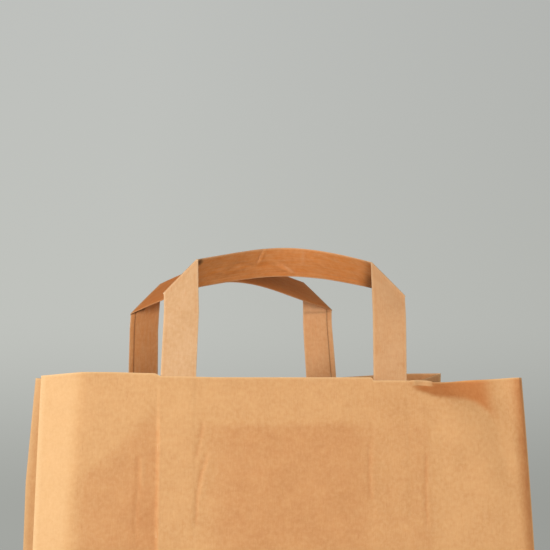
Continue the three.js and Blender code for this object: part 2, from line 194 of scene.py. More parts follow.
rim_middles = [panel(0, BAG_HEIGHT) for panel in (front_panel, rear_panel)]
print("middle of the front and the rear rim:", np.round(rim_middles, 1).tolist())

# %% [markdown]
# ## Handles and patches on the sheet
# The handles' legs lie between the panel and a patch. Nothing of that is seen from outside except its print:
# a low step along each edge, and glue that has soaked in and cockled the paper. Their places are needed
# before the bag itself can be made. The two handles have the same sizes and stand in their own ways, each
# within about 2 mm of its solid.

# %% Places of the handles in millimetres
TAPE_WIDTH = 22
TAPE_THICKNESS = 0.65
TAPE_SEAM = 4  # the last ply's edge, from the tape's outer edge
HANDLE_SPAN = 159  # over both legs
LEG_DEPTH = 95  # of the legs below the rim
FOLD_RADIUS = 0.6
PATCH_TOP = 30  # of a patch below the rim
PATCH_SIDE = 15.5  # a patch's reach past the legs
PATCH_BELOW = 5  # and below their ends
PATCH_SLOPE = 2.5  # width of the slope on which it climbs a leg
# shift is the place of a handle's middle. Pairs are for the left and the right leg: the corner's height over
# the rim, the rise of its diagonal in tape widths, the angle to which its fold opens, the twist and the lean
# of the leg's top, and the lift of the strip beside it. arc is how far the strip's ends keep their direction,
# drop is how much lower its lower edge hangs, and spread is how far the tape's first leg stands out at the
# rim. tones are stains on the inner face of its first and second leg, from the browner inner ply and on the
# rear handle's second leg also painted shade; faces are painted shade on the legs' outer faces; and the warm
# value is how much redder the strip's painted shade is.
FRONT_HANDLE = dict(
    shift=-9, corner=(51.6, 53), mitre=(1.045, 1.075), open=(64, 76.5), twist=(0, -8), lean=(3, 3.4),
    lift=(1.2, 1.2), arc=0.669, drop=1.1, spread=0, tones=(0.35, 0.35), faces=(0, 0.24), painted_warm_shade=0.12,
)
REAR_HANDLE = dict(
    shift=-6, corner=(46.3, 51.2), mitre=(1.06, 1), open=(82, 70), twist=(13, 18), lean=(-1.2, -6.2),
    lift=(2.2, 0), arc=0.64, drop=0.5, spread=2.4, tones=(0.38, 0.75), faces=(0, 0), painted_warm_shade=0.45,
)


def leg_edges(handle):
    """Places of the left leg's outer and inner edge, then of the right leg's inner and outer edge."""
    half = HANDLE_SPAN / 2
    return [handle["shift"] + d for d in (-half, TAPE_WIDTH - half, half - TAPE_WIDTH, half)]


def bump(x, width):
    """1 where x is 0, fading to nothing over the width on both sides."""
    return np.exp(-((x / width) ** 2))


def stroke(q, z, points, width):
    """1 along a line through the points of the sheet, fading to nothing over the width beside it."""
    nearest = np.full(np.broadcast(q, z).shape, np.inf)
    for (q0, z0), (q1, z1) in zip(points, points[1:]):
        along = ((q - q0) * (q1 - q0) + (z - z0) * (z1 - z0)) / ((q1 - q0) ** 2 + (z1 - z0) ** 2)
        along = np.clip(along, 0, 1)
        nearest = np.minimum(nearest, np.hypot(q - lerp(q0, q1, along), z - lerp(z0, z1, along)))
    return bump(nearest, width)


print("front leg edges:", np.round(leg_edges(FRONT_HANDLE), 1), "rear:", np.round(leg_edges(REAR_HANDLE), 1))

# %% [markdown]
# ## Relief of the panels
# The photograph's soft light shows every small slope of the front panel. The relief is a sum of a few marks,
# each at the place where the bag has it: the steps of legs and patch, a hollow and a pinched ridge along the
# left leg, short puckers at the legs, and the fold that every bag of this kind keeps across its panels from
# lying flat with its bottom folded up. A height of a third of a millimetre over two millimetres is enough to
# show.

# %% Heights and places of the relief in millimetres
BOTTOM_FOLD = HALF_GUSSET  # height of the crease from the folded-up bottom
FOLD_RIDGE, FOLD_DIP = (0.7, 2.2), (0.5, 14)  # height and width of that crease, and of the dip round it
LEG_PRINT, PATCH_PRINT, PRINT_SOFT = 0.16, 0.08, 3  # steps that show through the panel, and how wide they are
SEAM_PLACE, SEAM_LAP, SEAM_STEP, SEAM_SOFT = -118, 18, 1.3 * PAPER, 0.4  # the glued seam in the rear panel
SLACK = (0.9, 37, 61)  # waves of the rear panel: their height, and their lengths along and up, for one radian
SLACK_HEIGHTS = (110, 290, 90)
HOLLOW_DEPTH = 0.95  # of the hollow beside the left leg
HOLLOW_FOOT = -89.4  # place of its deepest line along the panel
HOLLOW_END = -86.7  # and of its steep side, at the leg
HOLLOW_CREST = ((379, 394, 411, 421), (-136, -118, -101, -95))  # heights, and where it begins there
HOLLOW_HEIGHTS = ((290, 340), (400, 430))  # where it grows and where it ends
# the hollow's tone is painted shade
HOLLOW_SHADE_EDGE = (-2, 7)  # its tone grows between these distances from its crest
HOLLOW_SHADE_FALL = 0.4  # share of its tone that follows its depth
HOLLOW_SHADE_PAST = (0.4, 0.8)  # its tone ends this far past its deepest line and its steep side
PINCH, PINCH_PLACE, PINCH_WIDTH = 0.12, 1.2, 1.0  # height, place and width of the ridge on the left leg
PINCH_HEIGHTS = ((285, 345), (395, 435))
EDGE_CALM = 3  # the relief begins at this distance from a panel's edges
BASE_CALM = (2, 12)  # and between these heights
FRONT_MARKS = [  # a line in the sheet, its width, height and tone: a tone over 0 paints shade into the furrow, below 0 rubs
    ([(-61, 412), (-63.5, 399), (-65.2, 392)], 1.3, -0.3, 0.4),
    ([(-58.9, 392), (-62.2, 382), (-64.4, 369), (-64.8, 354)], 1.3, -0.35, 0.45),
    ([(-56.2, 392), (-59.4, 381), (-61.8, 369)], 1.7, 0.25, 0),
    ([(45, 396), (44.6, 380), (45.4, 365)], 1.3, -0.25, 0.35),
    ([(47.8, 395), (47.6, 366)], 1.6, 0.15, 0),
    ([(57, 372), (57, 361)], 1.3, -0.2, 0.3),
    ([(45, 351), (70, 350.4)], 1.5, -0.3, 0.2),
    ([(83, 392), (82, 370), (82.4, 349)], 1.3, -0.2, 0.4),
    ([(-100, 390), (-99.4, 372), (-101, 358), (-100.4, 343)], 1.4, -0.25, 0.5),
    ([(-97.2, 389), (-97, 376)], 1.5, 0.2, -0.2),
    ([(20, 400), (-6, 396), (-34, 399)], 7, -0.35, 0),
    ([(-40, 372), (-10, 378), (22, 371)], 9, 0.4, 0),
    ([(112, 404), (122, 384), (127, 362)], 10, 0.7, 0),
    ([(132, 412), (136, 398), (139, 380)], 5, -0.5, 0),
    ([(98, 424), (104, 408), (103, 392)], 7, 0.5, 0),
]

print("marks in the front panel:", len(FRONT_MARKS))


# %% Relief in millimetres, outwards
def window(x, low, high, soft):
    """1 between low and high and 0 outside, with a soft step at both ends."""
    starts = smoothstep(x, low - soft / 2, low + soft / 2)
    return starts * (1 - smoothstep(x, high - soft / 2, high + soft / 2))


def hollow(q, z):
    """The hollow's depth and its tone, from 0 at a diagonal crest to 1, with a steep side at the leg."""
    crest = np.interp(z, *HOLLOW_CREST)
    grows, ends = HOLLOW_HEIGHTS
    tall = smoothstep(z, *grows) * (1 - smoothstep(z, *ends))
    fall = np.clip((q - crest) / (HOLLOW_FOOT - crest), 0, 1)
    depth = fall * (1 - smoothstep(q, HOLLOW_FOOT, HOLLOW_END))
    # its tone is painted shade
    before, after = HOLLOW_SHADE_EDGE
    tone = lerp(smoothstep(q, crest + before, crest + after), fall, HOLLOW_SHADE_FALL)
    past_foot, past_end = HOLLOW_SHADE_PAST
    tone = tone * (1 - smoothstep(q, HOLLOW_FOOT + past_foot, HOLLOW_END + past_end))
    return depth * tall, tone * tall


def bottom_fold(z):
    ridge, ridge_width = FOLD_RIDGE
    dip, dip_width = FOLD_DIP
    return ridge * bump(z - BOTTOM_FOLD, ridge_width) - dip * bump(z - BOTTOM_FOLD, dip_width)


def print_through(q, z, handle):
    """The steps that a handle's legs and patch leave in the panel over them."""
    a, b, c, d = leg_edges(handle)
    low = BAG_HEIGHT - LEG_DEPTH
    legs = window(q, a, b, PRINT_SOFT) + window(q, c, d, PRINT_SOFT)
    legs = legs * smoothstep(z, low - PRINT_SOFT / 2, low + PRINT_SOFT / 2)
    patch = window(q, a - PATCH_SIDE, d + PATCH_SIDE, PRINT_SOFT)
    patch = patch * window(z, low - PATCH_BELOW, BAG_HEIGHT - PATCH_TOP, PRINT_SOFT)
    return LEG_PRINT * legs + PATCH_PRINT * patch


def within_edges(q):
    return window(q, -HALF_WIDTH + EDGE_CALM, HALF_WIDTH - EDGE_CALM, 2 * EDGE_CALM)


def front_relief(q, z):
    left_leg = leg_edges(FRONT_HANDLE)[0]
    grows, weakens = PINCH_HEIGHTS
    pinch = smoothstep(z, *grows) * lerp(1, 0.5, smoothstep(z, *weakens))
    ridge = bump(q - left_leg - PINCH_PLACE, PINCH_WIDTH)
    relief = print_through(q, z, FRONT_HANDLE) + PINCH * pinch * ridge + bottom_fold(z)
    relief = relief - HOLLOW_DEPTH * hollow(q, z)[0]
    for points, width, height, _ in FRONT_MARKS:
        relief = relief + height * stroke(q, z, points, width)
    return relief * within_edges(q) * smoothstep(z, *BASE_CALM)


def rear_relief(q, z):
    lap = window(q, SEAM_PLACE - SEAM_LAP, SEAM_PLACE - SEAM_SOFT / 2, SEAM_SOFT)
    height, along, up = SLACK
    slack = height * np.sin(q / along + z / up) * window(z, *SLACK_HEIGHTS)
    relief = print_through(q, z, REAR_HANDLE) + slack + bottom_fold(z)
    return (relief * smoothstep(z, *BASE_CALM) + SEAM_STEP * lap) * within_edges(q)


print("seam's step:", round(SEAM_STEP, 2), "mm")

# %% [markdown]
# The same places carry tone. Glue that has soaked in makes kraft paper darker. Shade is painted into the
# hollow, onto the rolled right edge and into the rear corner at the right, and light is painted onto the
# bent band at the left, which turns pale.

# %% Tones of the panels
GLUE_TONES = (0.1, 0.52, 0.1)  # over the whole patch, between the legs, and right of the right leg
GLUE_WAVES = ((0.7, 11, 0), (0.4, 4.7, 2))  # of its uneven upper edge: height, length for one radian, start
GLUE_FOOT, GLUE_TOP, GLUE_SIDE = (-15, 35), (-2, 3), 5  # how softly it begins at the patch's edges
GLUE_LEFT, GLUE_RIGHT, GLUE_PAST = (-2, 26), (-16, 4), (0, 4)  # and at the legs' edges
REAR_GLUE = 0.6  # share of it that shows in the rear panel
# painted shade in the hollow, lighter towards its top
HOLLOW_PAINTED_SHADES, HOLLOW_SHADE_HEIGHTS = (0.95, 0.6), (350, 410)
MIDDLE_TONE, MIDDLE_PLACES = 0.2, (-80, -20)  # the panel darkens a little towards its middle
RIGHT_LEG_TONE, RIGHT_LEG_PLACES = 0.12, (40, 84, 12)
# painted shade on the rolled right edge, which turns away from the light
EDGE_PAINTED_SHADES, EDGE_SHADE_HEIGHTS = (0.55, 0.95), (340, 400)  # of the rolled right edge
EDGE_SHADE_PLACES = (HALF_WIDTH - 18, HALF_WIDTH - 5)
# painted shade in the rear corner at the right, where the inside of the bag lies in shade
CORNER_PAINTED_SHADE, CORNER_SHADE_PLACES, CORNER_SHADE_HEIGHTS = 0.85, (70, 115), (408, 432)  # of the rear corner at the right
# painted light on the bent band at the left, which faces the light
BAND_PAINTED_LIGHT, BAND_LIGHT_SHARES, BAND_LIGHT_TOP = 0.5, (0.75, 1.2), BAG_HEIGHT - 80


def glued_area(q, z, handle):
    """How much glue has soaked in: most between the legs, hardly any over them."""
    a, b, c, d = leg_edges(handle)
    top = BAG_HEIGHT - PATCH_TOP
    for height, length, start in GLUE_WAVES:
        top = top + height * np.sin(q / length + start)
    tall = smoothstep(z - top + LEG_DEPTH, *GLUE_FOOT) * (1 - smoothstep(z - top, *GLUE_TOP))
    patch = window(q, a - PATCH_SIDE, d + PATCH_SIDE, GLUE_SIDE) * tall
    between = smoothstep(q - b, *GLUE_LEFT) * (1 - smoothstep(q - c, *GLUE_RIGHT))
    whole, middle, right = GLUE_TONES
    return patch * (whole + middle * between + right * smoothstep(q - d, *GLUE_PAST))


def front_stain_and_shade(q, z):
    stain_and_shade = glued_area(q, z, FRONT_HANDLE)
    # painted shade in the hollow
    stain_and_shade = stain_and_shade + hollow(q, z)[1] * lerp(*HOLLOW_PAINTED_SHADES, smoothstep(z, *HOLLOW_SHADE_HEIGHTS))
    stain_and_shade = stain_and_shade + MIDDLE_TONE * smoothstep(q, *MIDDLE_PLACES)
    stain_and_shade = stain_and_shade + RIGHT_LEG_TONE * window(q, *RIGHT_LEG_PLACES)
    # painted shade on the rolled right edge
    edge_shade = lerp(*EDGE_PAINTED_SHADES, smoothstep(z, *EDGE_SHADE_HEIGHTS))
    stain_and_shade = stain_and_shade + edge_shade * smoothstep(q, *EDGE_SHADE_PLACES)
    # painted shade in the furrows of the marks
    for points, width, _, tone in FRONT_MARKS:
        stain_and_shade = stain_and_shade + max(tone, 0) * stroke(q, z, points, width)
    return stain_and_shade


def rear_stain_and_shade(q, z):
    # glue stains, and painted shade in the corner at the right
    corner_shade = smoothstep(q, *CORNER_SHADE_PLACES) * smoothstep(z, *CORNER_SHADE_HEIGHTS)
    return REAR_GLUE * glued_area(q, z, REAR_HANDLE) + CORNER_PAINTED_SHADE * corner_shade


def front_rub_and_light(q, z):
    # painted light on the bent band at the left, and wear on the rubbed marks
    lit_band = 1 - smoothstep((HALF_WIDTH + q) / band_width(z), *BAND_LIGHT_SHARES)
    rub_and_light = BAND_PAINTED_LIGHT * lit_band * smoothstep(z, EDGE_BEND_START, BAND_LIGHT_TOP)
    for points, width, _, tone in FRONT_MARKS:
        rub_and_light = rub_and_light + max(-tone, 0) * stroke(q, z, points, width)
    return rub_and_light


print("marks with a tone:", sum(tone != 0 for *_, tone in FRONT_MARKS))

# %% [markdown]
# ## From grids to paper
# Every piece starts as a grid of points with sheet coordinates. One helper turns such grids into a mesh with
# a UV map in metres of sheet, so that patterns keep their real scale, and with painted values per point:
# cockle for how much the paper puckers there, and values for wear at folds and cut edges with painted light,
# for soaked-in glue with painted shade, for the redder tone of painted shade, and on the tapes for painted
# shadow in the dark lines where a fold or a ply's edge stands open.

# %% Mesh from a grid
def grid_quads(rows, columns, closed):
    """Corners of each cell of a grid, against the clock, as (row, column) pairs."""
    j, i = np.meshgrid(np.arange(rows - 1), np.arange(columns if closed else columns - 1), indexing="ij")
    j, i = j.ravel(), i.ravel()
    corners = ((0, 0), (0, 1), (1, 1), (1, 0))
    return np.stack([np.stack([j + down, i + right], 1) for down, right in corners], 1)


def point_numbers(cells, columns):
    return cells[..., 0] * columns + cells[..., 1] % columns


def make_mesh(name, points, quads, uvs, values):
    """A mesh from points in millimetres, quads of point numbers, their corners' sheet places, and painted
    values."""
    mesh = bpy.data.meshes.new(name)
    mesh.from_pydata((points * MM).tolist(), [], quads.tolist())
    layer = mesh.uv_layers.new(name="sheet")
    layer.uv.foreach_set("vector", (uvs * MM).astype(np.float32).ravel())
    for key, value in values.items():
        painted = mesh.attributes.new(key, "FLOAT", "POINT")
        painted.data.foreach_set("value", value.astype(np.float32).ravel())
    mesh.validate()
    piece = bpy.data.objects.new(name, mesh)
    bpy.context.scene.collection.objects.link(piece)
    return piece


print("cells of a grid of 3 by 4 points:", len(grid_quads(3, 4, False)))

# %% [markdown]
# ## Cockling with Geometry Nodes
# Paper that was damp with glue dries into small puckers that follow no line. They follow the surface, so a
# small Geometry Nodes tree makes them for every piece: it moves each point along its normal by a noise of two
# sizes, as far as the painted cockle value allows. Its heights and widths are inputs in metres, and its seed
# is fixed.

# %% One function that adds a node
def add_node(tree, kind, inputs=None, **settings):
    """A new node with its settings. Each input, by name or number, is linked to a socket or set to a value."""
    node = tree.nodes.new(kind)
    for key, value in settings.items():
        setattr(node, key, value)
    for key, value in (inputs or {}).items():
        if isinstance(value, bpy.types.NodeSocket):
            tree.links.new(value, node.inputs[key])
        else:
            node.inputs[key].default_value = value
    return node


# %% The cockle tree
COCKLE_INPUTS = (
    ("Cockle height", 0.00016),
    ("Cockle width", 0.0075),
    ("Wave height", 0.0006),
    ("Wave width", 0.045),
    ("Seed", 4.0),
)


def cockle_tree():
    tree = bpy.data.node_groups.new("paper_cockle", "GeometryNodeTree")
    face = tree.interface
    face.new_socket("Geometry", in_out="INPUT", socket_type="NodeSocketGeometry")
    for label, value in COCKLE_INPUTS:
        face.new_socket(label, in_out="INPUT", socket_type="NodeSocketFloat").default_value = value
    face.new_socket("Paper", in_out="INPUT", socket_type="NodeSocketMaterial")
    face.new_socket("Geometry", in_out="OUTPUT", socket_type="NodeSocketGeometry")
    given = add_node(tree, "NodeGroupInput").outputs
    place = add_node(tree, "GeometryNodeInputPosition").outputs[0]
    normal = add_node(tree, "GeometryNodeInputNormal").outputs[0]
    painted = add_node(tree, "GeometryNodeInputNamedAttribute", {0: "cockle"}, data_type="FLOAT").outputs[0]
    levels = []
    for height, width in (("Cockle height", "Cockle width"), ("Wave height", "Wave width")):
        scale = add_node(tree, "ShaderNodeMath", {0: 1.0, 1: given[width]}, operation="DIVIDE").outputs[0]
        sockets = {"Vector": place, "W": given["Seed"], "Scale": scale, "Detail": 1.0}
        level = add_node(tree, "ShaderNodeTexNoise", sockets, noise_dimensions="4D").outputs[0]
        for operation, value in (("SUBTRACT", 0.5), ("MULTIPLY", 2.0), ("MULTIPLY", given[height])):
            level = add_node(tree, "ShaderNodeMath", {0: level, 1: value}, operation=operation).outputs[0]
        levels.append(level)
    total, wave = levels
    for operation, value in (("ADD", wave), ("MULTIPLY", painted)):
        total = add_node(tree, "ShaderNodeMath", {0: total, 1: value}, operation=operation).outputs[0]
    offset = add_node(tree, "ShaderNodeVectorMath", {0: normal, "Scale": total}, operation="SCALE").outputs[0]
    moved = add_node(tree, "GeometryNodeSetPosition", {"Geometry": given["Geometry"], "Offset": offset})
    real = add_node(tree, "GeometryNodeRealizeInstances", {0: moved.outputs[0]})
    sockets = {"Geometry": real.outputs[0], "Material": given["Paper"]}
    finished = add_node(tree, "GeometryNodeSetMaterial", sockets)
    add_node(tree, "NodeGroupOutput", {0: finished.outputs[0]})
    return tree


PAPER_COCKLE = cockle_tree()
SOCKETS = {item.name: item.identifier for item in PAPER_COCKLE.interface.items_tree if item.in_out == "INPUT"}
print("inputs of the cockle tree:", list(SOCKETS))

# %% Finishing a piece of paper
FOLD_SHARP = math.radians(38)


def finish_paper(piece, material, thickness=None, **inputs):
    """Cockles a piece, gives a bare sheet its thickness, and leaves a plain mesh behind."""
    cockle = piece.modifiers.new("cockle", "NODES")
    cockle.node_group = PAPER_COCKLE
    cockle[SOCKETS["Paper"]] = material
    for label, value in inputs.items():
        cockle[SOCKETS[label.replace("_", " ").capitalize()]] = value
    if thickness:
        solid = piece.modifiers.new("thickness", "SOLIDIFY")
        solid.thickness = thickness * MM
        solid.offset = 0
    graph = bpy.context.evaluated_depsgraph_get()
    evaluated = piece.evaluated_get(graph)
    mesh = bpy.data.meshes.new_from_object(evaluated, preserve_all_data_layers=True, depsgraph=graph)
    piece.modifiers.clear()
    piece.data = mesh
    mesh.shade_smooth()
    mesh.set_sharp_from_angle(angle=FOLD_SHARP)
    mesh.calc_loop_triangles()
    print(piece.name, "triangles:", len(mesh.loop_triangles))
    return piece


# %% [markdown]
# ## Kraft paper as a material
# Kraft paper is unbleached wood pulp, rolled smooth on one face. From near by it is not one brown: the pulp
# lies in soft clouds and small flocs, thin fibres run along the web, and a few dark shives and pale fibres
# lie in it. It is matt with a faint sheen on the rolled face. Folds rub the surface pale, and glue makes it
# darker and redder. The true fibres are about 0.03 mm thick, too fine to show, so they are drawn 0.7 mm
# thick.

# %% Patterns and colours of kraft paper
UV_PER_MM = 1000  # the sheet's UV is in metres, so a pattern of w millimetres has the scale 1000 / w
CLOUD_WIDTH, FLOC_WIDTH, FIBRE_WIDTH, SHIVE_WIDTH, WEAR_WIDTH = 18, 2.6, 0.7, 1.1, 1.4  # in millimetres
FIBRE_STRETCH = 0.12  # fibres are drawn out along the web by one over this
WARM_SHADE = "#fdc886"  # the colour that painted shade multiplies in, to make it redder
# dark brown of painted shadow
PAINTED_SHADOW_BROWN = "#5f3a1a"
ROUGHNESS = (0.3, 0.7, 0.62, 0.74)  # limits of the flocs' noise, and the roughness there
GRAIN_HEIGHT, GRAIN_STRENGTH, SHEEN = 0.00012, 0.35, 0.25


def linear(code):
    """An sRGB hex colour as linear RGBA, with the numbers of the sRGB standard."""
    parts = [int(code[k : k + 2], 16) / 255 for k in (1, 3, 5)]
    return (*[c / 12.92 if c <= 0.04045 else ((c + 0.055) / 1.055) ** 2.4 for c in parts], 1)


print("a fibre is", FIBRE_WIDTH, "mm thick and drawn out to", round(FIBRE_WIDTH / FIBRE_STRETCH, 1), "mm")


# %% The kraft finish
def kraft_paper(name, sheet, shade, pale, stain_and_shade, streak, soak, soak_along):
    """Uncoated kraft paper: its middle, darker and paler pulp, the colour of its glue stains and painted
    shade, how streaky it is, and the width of the soaked spots in these, which lie along the web or not."""
    material = bpy.data.materials.new(name)
    material.use_nodes = True
    tree = material.node_tree
    surface = tree.nodes["Principled BSDF"]
    uv = add_node(tree, "ShaderNodeUVMap", uv_map="sheet").outputs[0]
    web = add_node(tree, "ShaderNodeMapping", {"Vector": uv, "Scale": (1, FIBRE_STRETCH, 1)}).outputs[0]
    patterns = (  # direction, width, detail, roughness, and two limits of the noise with their shares
        ("clouds", uv, CLOUD_WIDTH, 4, 0.55, (0.3, 0.7, 0.0, 1.0)),
        ("flocs", uv, FLOC_WIDTH, 4, 0.62, (0.38, 0.66, 0.0, 0.32)),
        ("fibres", web, FIBRE_WIDTH, 3, 0.55, (0.3, 0.62, streak, 0.0)),
        ("shives", web, SHIVE_WIDTH, 1, 0.55, (0.7, 0.76, 0.0, 0.35)),
        ("soaked", web if soak_along else uv, soak, 3, 0.6, (0.25, 0.7, 0.55, 1.0)),
        ("worn", uv, WEAR_WIDTH, 2, 0.55, (0.3, 0.6, 0.7, 1.0)),
    )
    noise, share = {}, {}
    for key, vector, width, detail, roughness, limits in patterns:
        sockets = {"Vector": vector, "Scale": UV_PER_MM / width, "Detail": detail, "Roughness": roughness}
        noise[key] = add_node(tree, "ShaderNodeTexNoise", sockets).outputs[0]
        sockets = {0: noise[key], **dict(enumerate(limits, 1))}
        share[key] = add_node(tree, "ShaderNodeMapRange", sockets).outputs[0]
    # painted values: glue stains with painted shade, wear with painted light, redder painted shade, and
    # painted shadow
    for key in ("stain_and_shade", "rub_and_light", "painted_warm_shade", "painted_shadow"):
        share[key] = add_node(tree, "ShaderNodeAttribute", attribute_name=key).outputs["Fac"]
    for key, painted in (("soaked", "stain_and_shade"), ("worn", "rub_and_light")):
        sockets = {0: share[key], 1: share[painted]}
        share[key] = add_node(tree, "ShaderNodeMath", sockets, operation="MULTIPLY").outputs[0]

    # the soaked layer also lays painted shade, the worn layer also painted light, and the last two paint a
    # redder shade and a dark shadow
    layers = (
        ("clouds", sheet, "MIX"),
        ("flocs", pale, "MIX"),
        ("fibres", shade, "MULTIPLY"),
        ("shives", stain_and_shade, "MULTIPLY"),
        ("soaked", stain_and_shade, "MULTIPLY"),
        ("worn", pale, "MIX"),
        ("painted_warm_shade", WARM_SHADE, "MULTIPLY"),
        ("painted_shadow", PAINTED_SHADOW_BROWN, "MIX"),
    )
    colour = linear(shade)
    # inputs 6 and 7 of a Mix node are its two colours, and output 2 is their mix
    for key, code, mode in layers:
        sockets = {0: share[key], 6: colour, 7: linear(code)}
        colour = add_node(tree, "ShaderNodeMix", sockets, data_type="RGBA", blend_type=mode).outputs[2]
    sockets = {0: noise["flocs"], **dict(enumerate(ROUGHNESS, 1))}
    rough = add_node(tree, "ShaderNodeMapRange", sockets).outputs[0]
    sockets = {0: rough, 1: share["worn"]}
    rough = add_node(tree, "ShaderNodeMath", sockets, operation="ADD", use_clamp=True).outputs[0]
    sockets = {0: noise["flocs"], 1: noise["fibres"]}
    grain = add_node(tree, "ShaderNodeMath", sockets, operation="ADD").outputs[0]
    sockets = {"Strength": GRAIN_STRENGTH, "Distance": GRAIN_HEIGHT, "Height": grain}
    normal = add_node(tree, "ShaderNodeBump", sockets).outputs[0]
    for socket, value in (("Base Color", colour), ("Roughness", rough), ("Normal", normal)):
        tree.links.new(value, surface.inputs[socket])
    surface.inputs["Specular IOR Level"].default_value = SHEEN
    return material


SHEET_KRAFT = kraft_paper("kraft_paper_sheet", "#e0a96f", "#d79f66", "#ecc28e", "#ecd8cb", 0.12, 6, False)
TAPE_KRAFT = kraft_paper("kraft_paper_tape", "#e0b07f", "#d7a471", "#ecc89e", "#fdc886", 0.16, 1.6, True)
PATCH_KRAFT = kraft_paper("kraft_paper_patch", "#d6a36d", "#cc985f", "#e4bb88", "#e6d0c0", 0.15, 6, False)
print("papers:", [m.name for m in (SHEET_KRAFT, TAPE_KRAFT, PATCH_KRAFT)])

# %% [markdown]
# ## The bag
# The bag is one sheet, so it is one grid: once round the tube, from the base to the rim, with a grid for the
# floor joined to its first row. The columns lie close together where legs, folds and the seam need them. A
# simulation of the paper would also give bends and puckers, but not at the photograph's places, so the form
# is written out.

# %% Rows and columns of the sheet
FLOOR = 2.5 * PAPER  # middle of the floor's ply, which lies on two plies of flaps
GUSSET_CELLS = 12  # across half a gusset, and up its bottom triangle, so that its fold meets grid points
ROW_STRETCHES = (
    (FLOOR, HALF_GUSSET, GUSSET_CELLS),
    (HALF_GUSSET, 330, 24),
    (330, 416, 36),
    (416, 436, 16),
    (436, BAG_HEIGHT, 6),
)
LEG_ANCHORS = ((-18, -6, 3), (-3, 10), (-6, 4), (-3, 3, 10, 18))  # distances from the four edges of the legs
FRONT_CELLS = (5, 6, 9, 14, 16, 7, 20, 36, 16, 6, 9, 4, 12, 24, 1, 6)  # between neighbouring anchors
REAR_CELLS = (8, 40, 16, 62, 16, 18, 1, 12, 8, 10)
heights = np.concatenate([np.linspace(a, b, n, endpoint=False) for a, b, n in ROW_STRETCHES] + [[BAG_HEIGHT]])
zz = heights[:, None]


def columns(anchors, cells):
    """Places along the sheet, each stretch between neighbouring anchors cut into its own number of cells."""
    stretches = []
    for a, b, n in zip(anchors, anchors[1:], cells):
        a, b = np.broadcast_to(a, heights.shape), np.broadcast_to(b, heights.shape)
        stretches.append(lerp(a[:, None], b[:, None], np.arange(n) / n))
    return np.concatenate(stretches, axis=1)


def front_columns():
    left = band_width(heights) - HALF_WIDTH
    soft = BAND_SOFTNESS * band_width(heights)
    right = HALF_WIDTH - roll_width(heights)
    anchors = [-HALF_WIDTH, left - soft, left + soft]
    for edge, distances in zip(leg_edges(FRONT_HANDLE), LEG_ANCHORS):
        anchors += [edge + distance for distance in distances]
    return columns([*anchors, right - 1, right, HALF_WIDTH], FRONT_CELLS)


def rear_columns():
    a, b, c, d = leg_edges(REAR_HANDLE)
    right = HALF_WIDTH - roll_width(heights)
    lap = SEAM_PLACE - SEAM_LAP
    anchors = [HALF_WIDTH, right, d, c, b, a, SEAM_PLACE, SEAM_PLACE - SEAM_SOFT, lap, -right, -HALF_WIDTH]
    return columns(anchors, REAR_CELLS)


front_q = front_columns()
rear_q = rear_columns()
print("rows:", len(heights), "columns of a panel:", front_q.shape[1], rear_q.shape[1])

# %% [markdown]
# The front rim is dented right of the handle: the paper above a slanting crease is pushed into the bag, and a
# sliver of the rim stands up again at the dent's left end. The crease is a little steeper here than in the
# solid.

# %% The dent in the rim
DENT = dict(start=72, full=84, peak=101, end=154)  # places along the panel of the dented rim
DENT_DEPTHS = (2, 14, 76)  # depth of its crease below the rim at its start, peak and end
DENT_CURVES = (0.75, 3)  # how the crease bends up to the peak and after it
DENT_ANGLE = math.radians(41)
DENT_SOFTNESS = (0.8, 26)  # how round its crease is up to the peak and at its end
DENT_ROUND = 14  # it is roundest this far before its end
DENT_REACH = 40  # the rounding reaches this far below the crease
SLIVER_HEIGHT, SLIVER_LEAN = 3.2, 0.4  # of the rim that stands up again, and its lean out for its height
SLIVER_PLACES = (75.5, 92, 5)  # its ends along the panel, and how soft they are
DENT_SHADE_PLACES = (76, 130, 16)  # ends of the dent's painted shade, and how soft they are
DENT_SHADE_SOFT = (-1, 4)  # it begins between these distances above the crease


def dent_crease(q):
    start, peak, end = DENT["start"], DENT["peak"], DENT["end"]
    first, middle, last = DENT_DEPTHS
    left = np.sin(np.clip((q - start) / (peak - start), 0, 1) * math.pi / 2) ** DENT_CURVES[0]
    right = np.clip((q - peak) / (end - peak), 0, 1) ** DENT_CURVES[1]
    return np.where(q < peak, lerp(first, middle, left), lerp(middle, last, right))


def dented(points, q, z):
    """Folds the paper above the dent's crease into the bag, and turns a sliver of its rim out again."""
    peak, end = DENT["peak"], DENT["end"]
    above = z - (BAG_HEIGHT - dent_crease(q))
    soft = lerp(*DENT_SOFTNESS, smoothstep(q, peak, end - DENT_ROUND))
    flap = 0.5 * (above + np.hypot(above, soft)) - 0.5 * (np.hypot(DENT_REACH, soft) - DENT_REACH)
    flap = np.where(above > -DENT_REACH, np.maximum(flap, 0), 0)
    fade = np.clip((end - q) / (end - peak), 0, 1)
    angle = DENT_ANGLE * np.minimum(smoothstep(q, DENT["start"], DENT["full"]), fade)
    turned = np.maximum(flap - dent_crease(q) + SLIVER_HEIGHT * window(q, *SLIVER_PLACES), 0)
    points[..., 1] += (flap - turned) * np.sin(angle) - SLIVER_LEAN * turned
    points[..., 2] -= (flap - turned) * (1 - np.cos(angle))
    return points


def dent_sliver(q, z):
    foot = BAG_HEIGHT - SLIVER_HEIGHT
    return window(q, *SLIVER_PLACES) * smoothstep(z, foot - 1, foot)


def dent_painted_shade(q, z):
    """Painted shade above the dent's crease, without the sliver that stands up again."""
    above = smoothstep(z - BAG_HEIGHT + dent_crease(q), *DENT_SHADE_SOFT)
    return above * window(q, *DENT_SHADE_PLACES) * (1 - dent_sliver(q, z))


print("deepest place of the dent's crease:", DENT_DEPTHS[-1], "mm below the rim")


# %% Points of the whole tube
TINY = 1e-9  # keeps a division away from 0


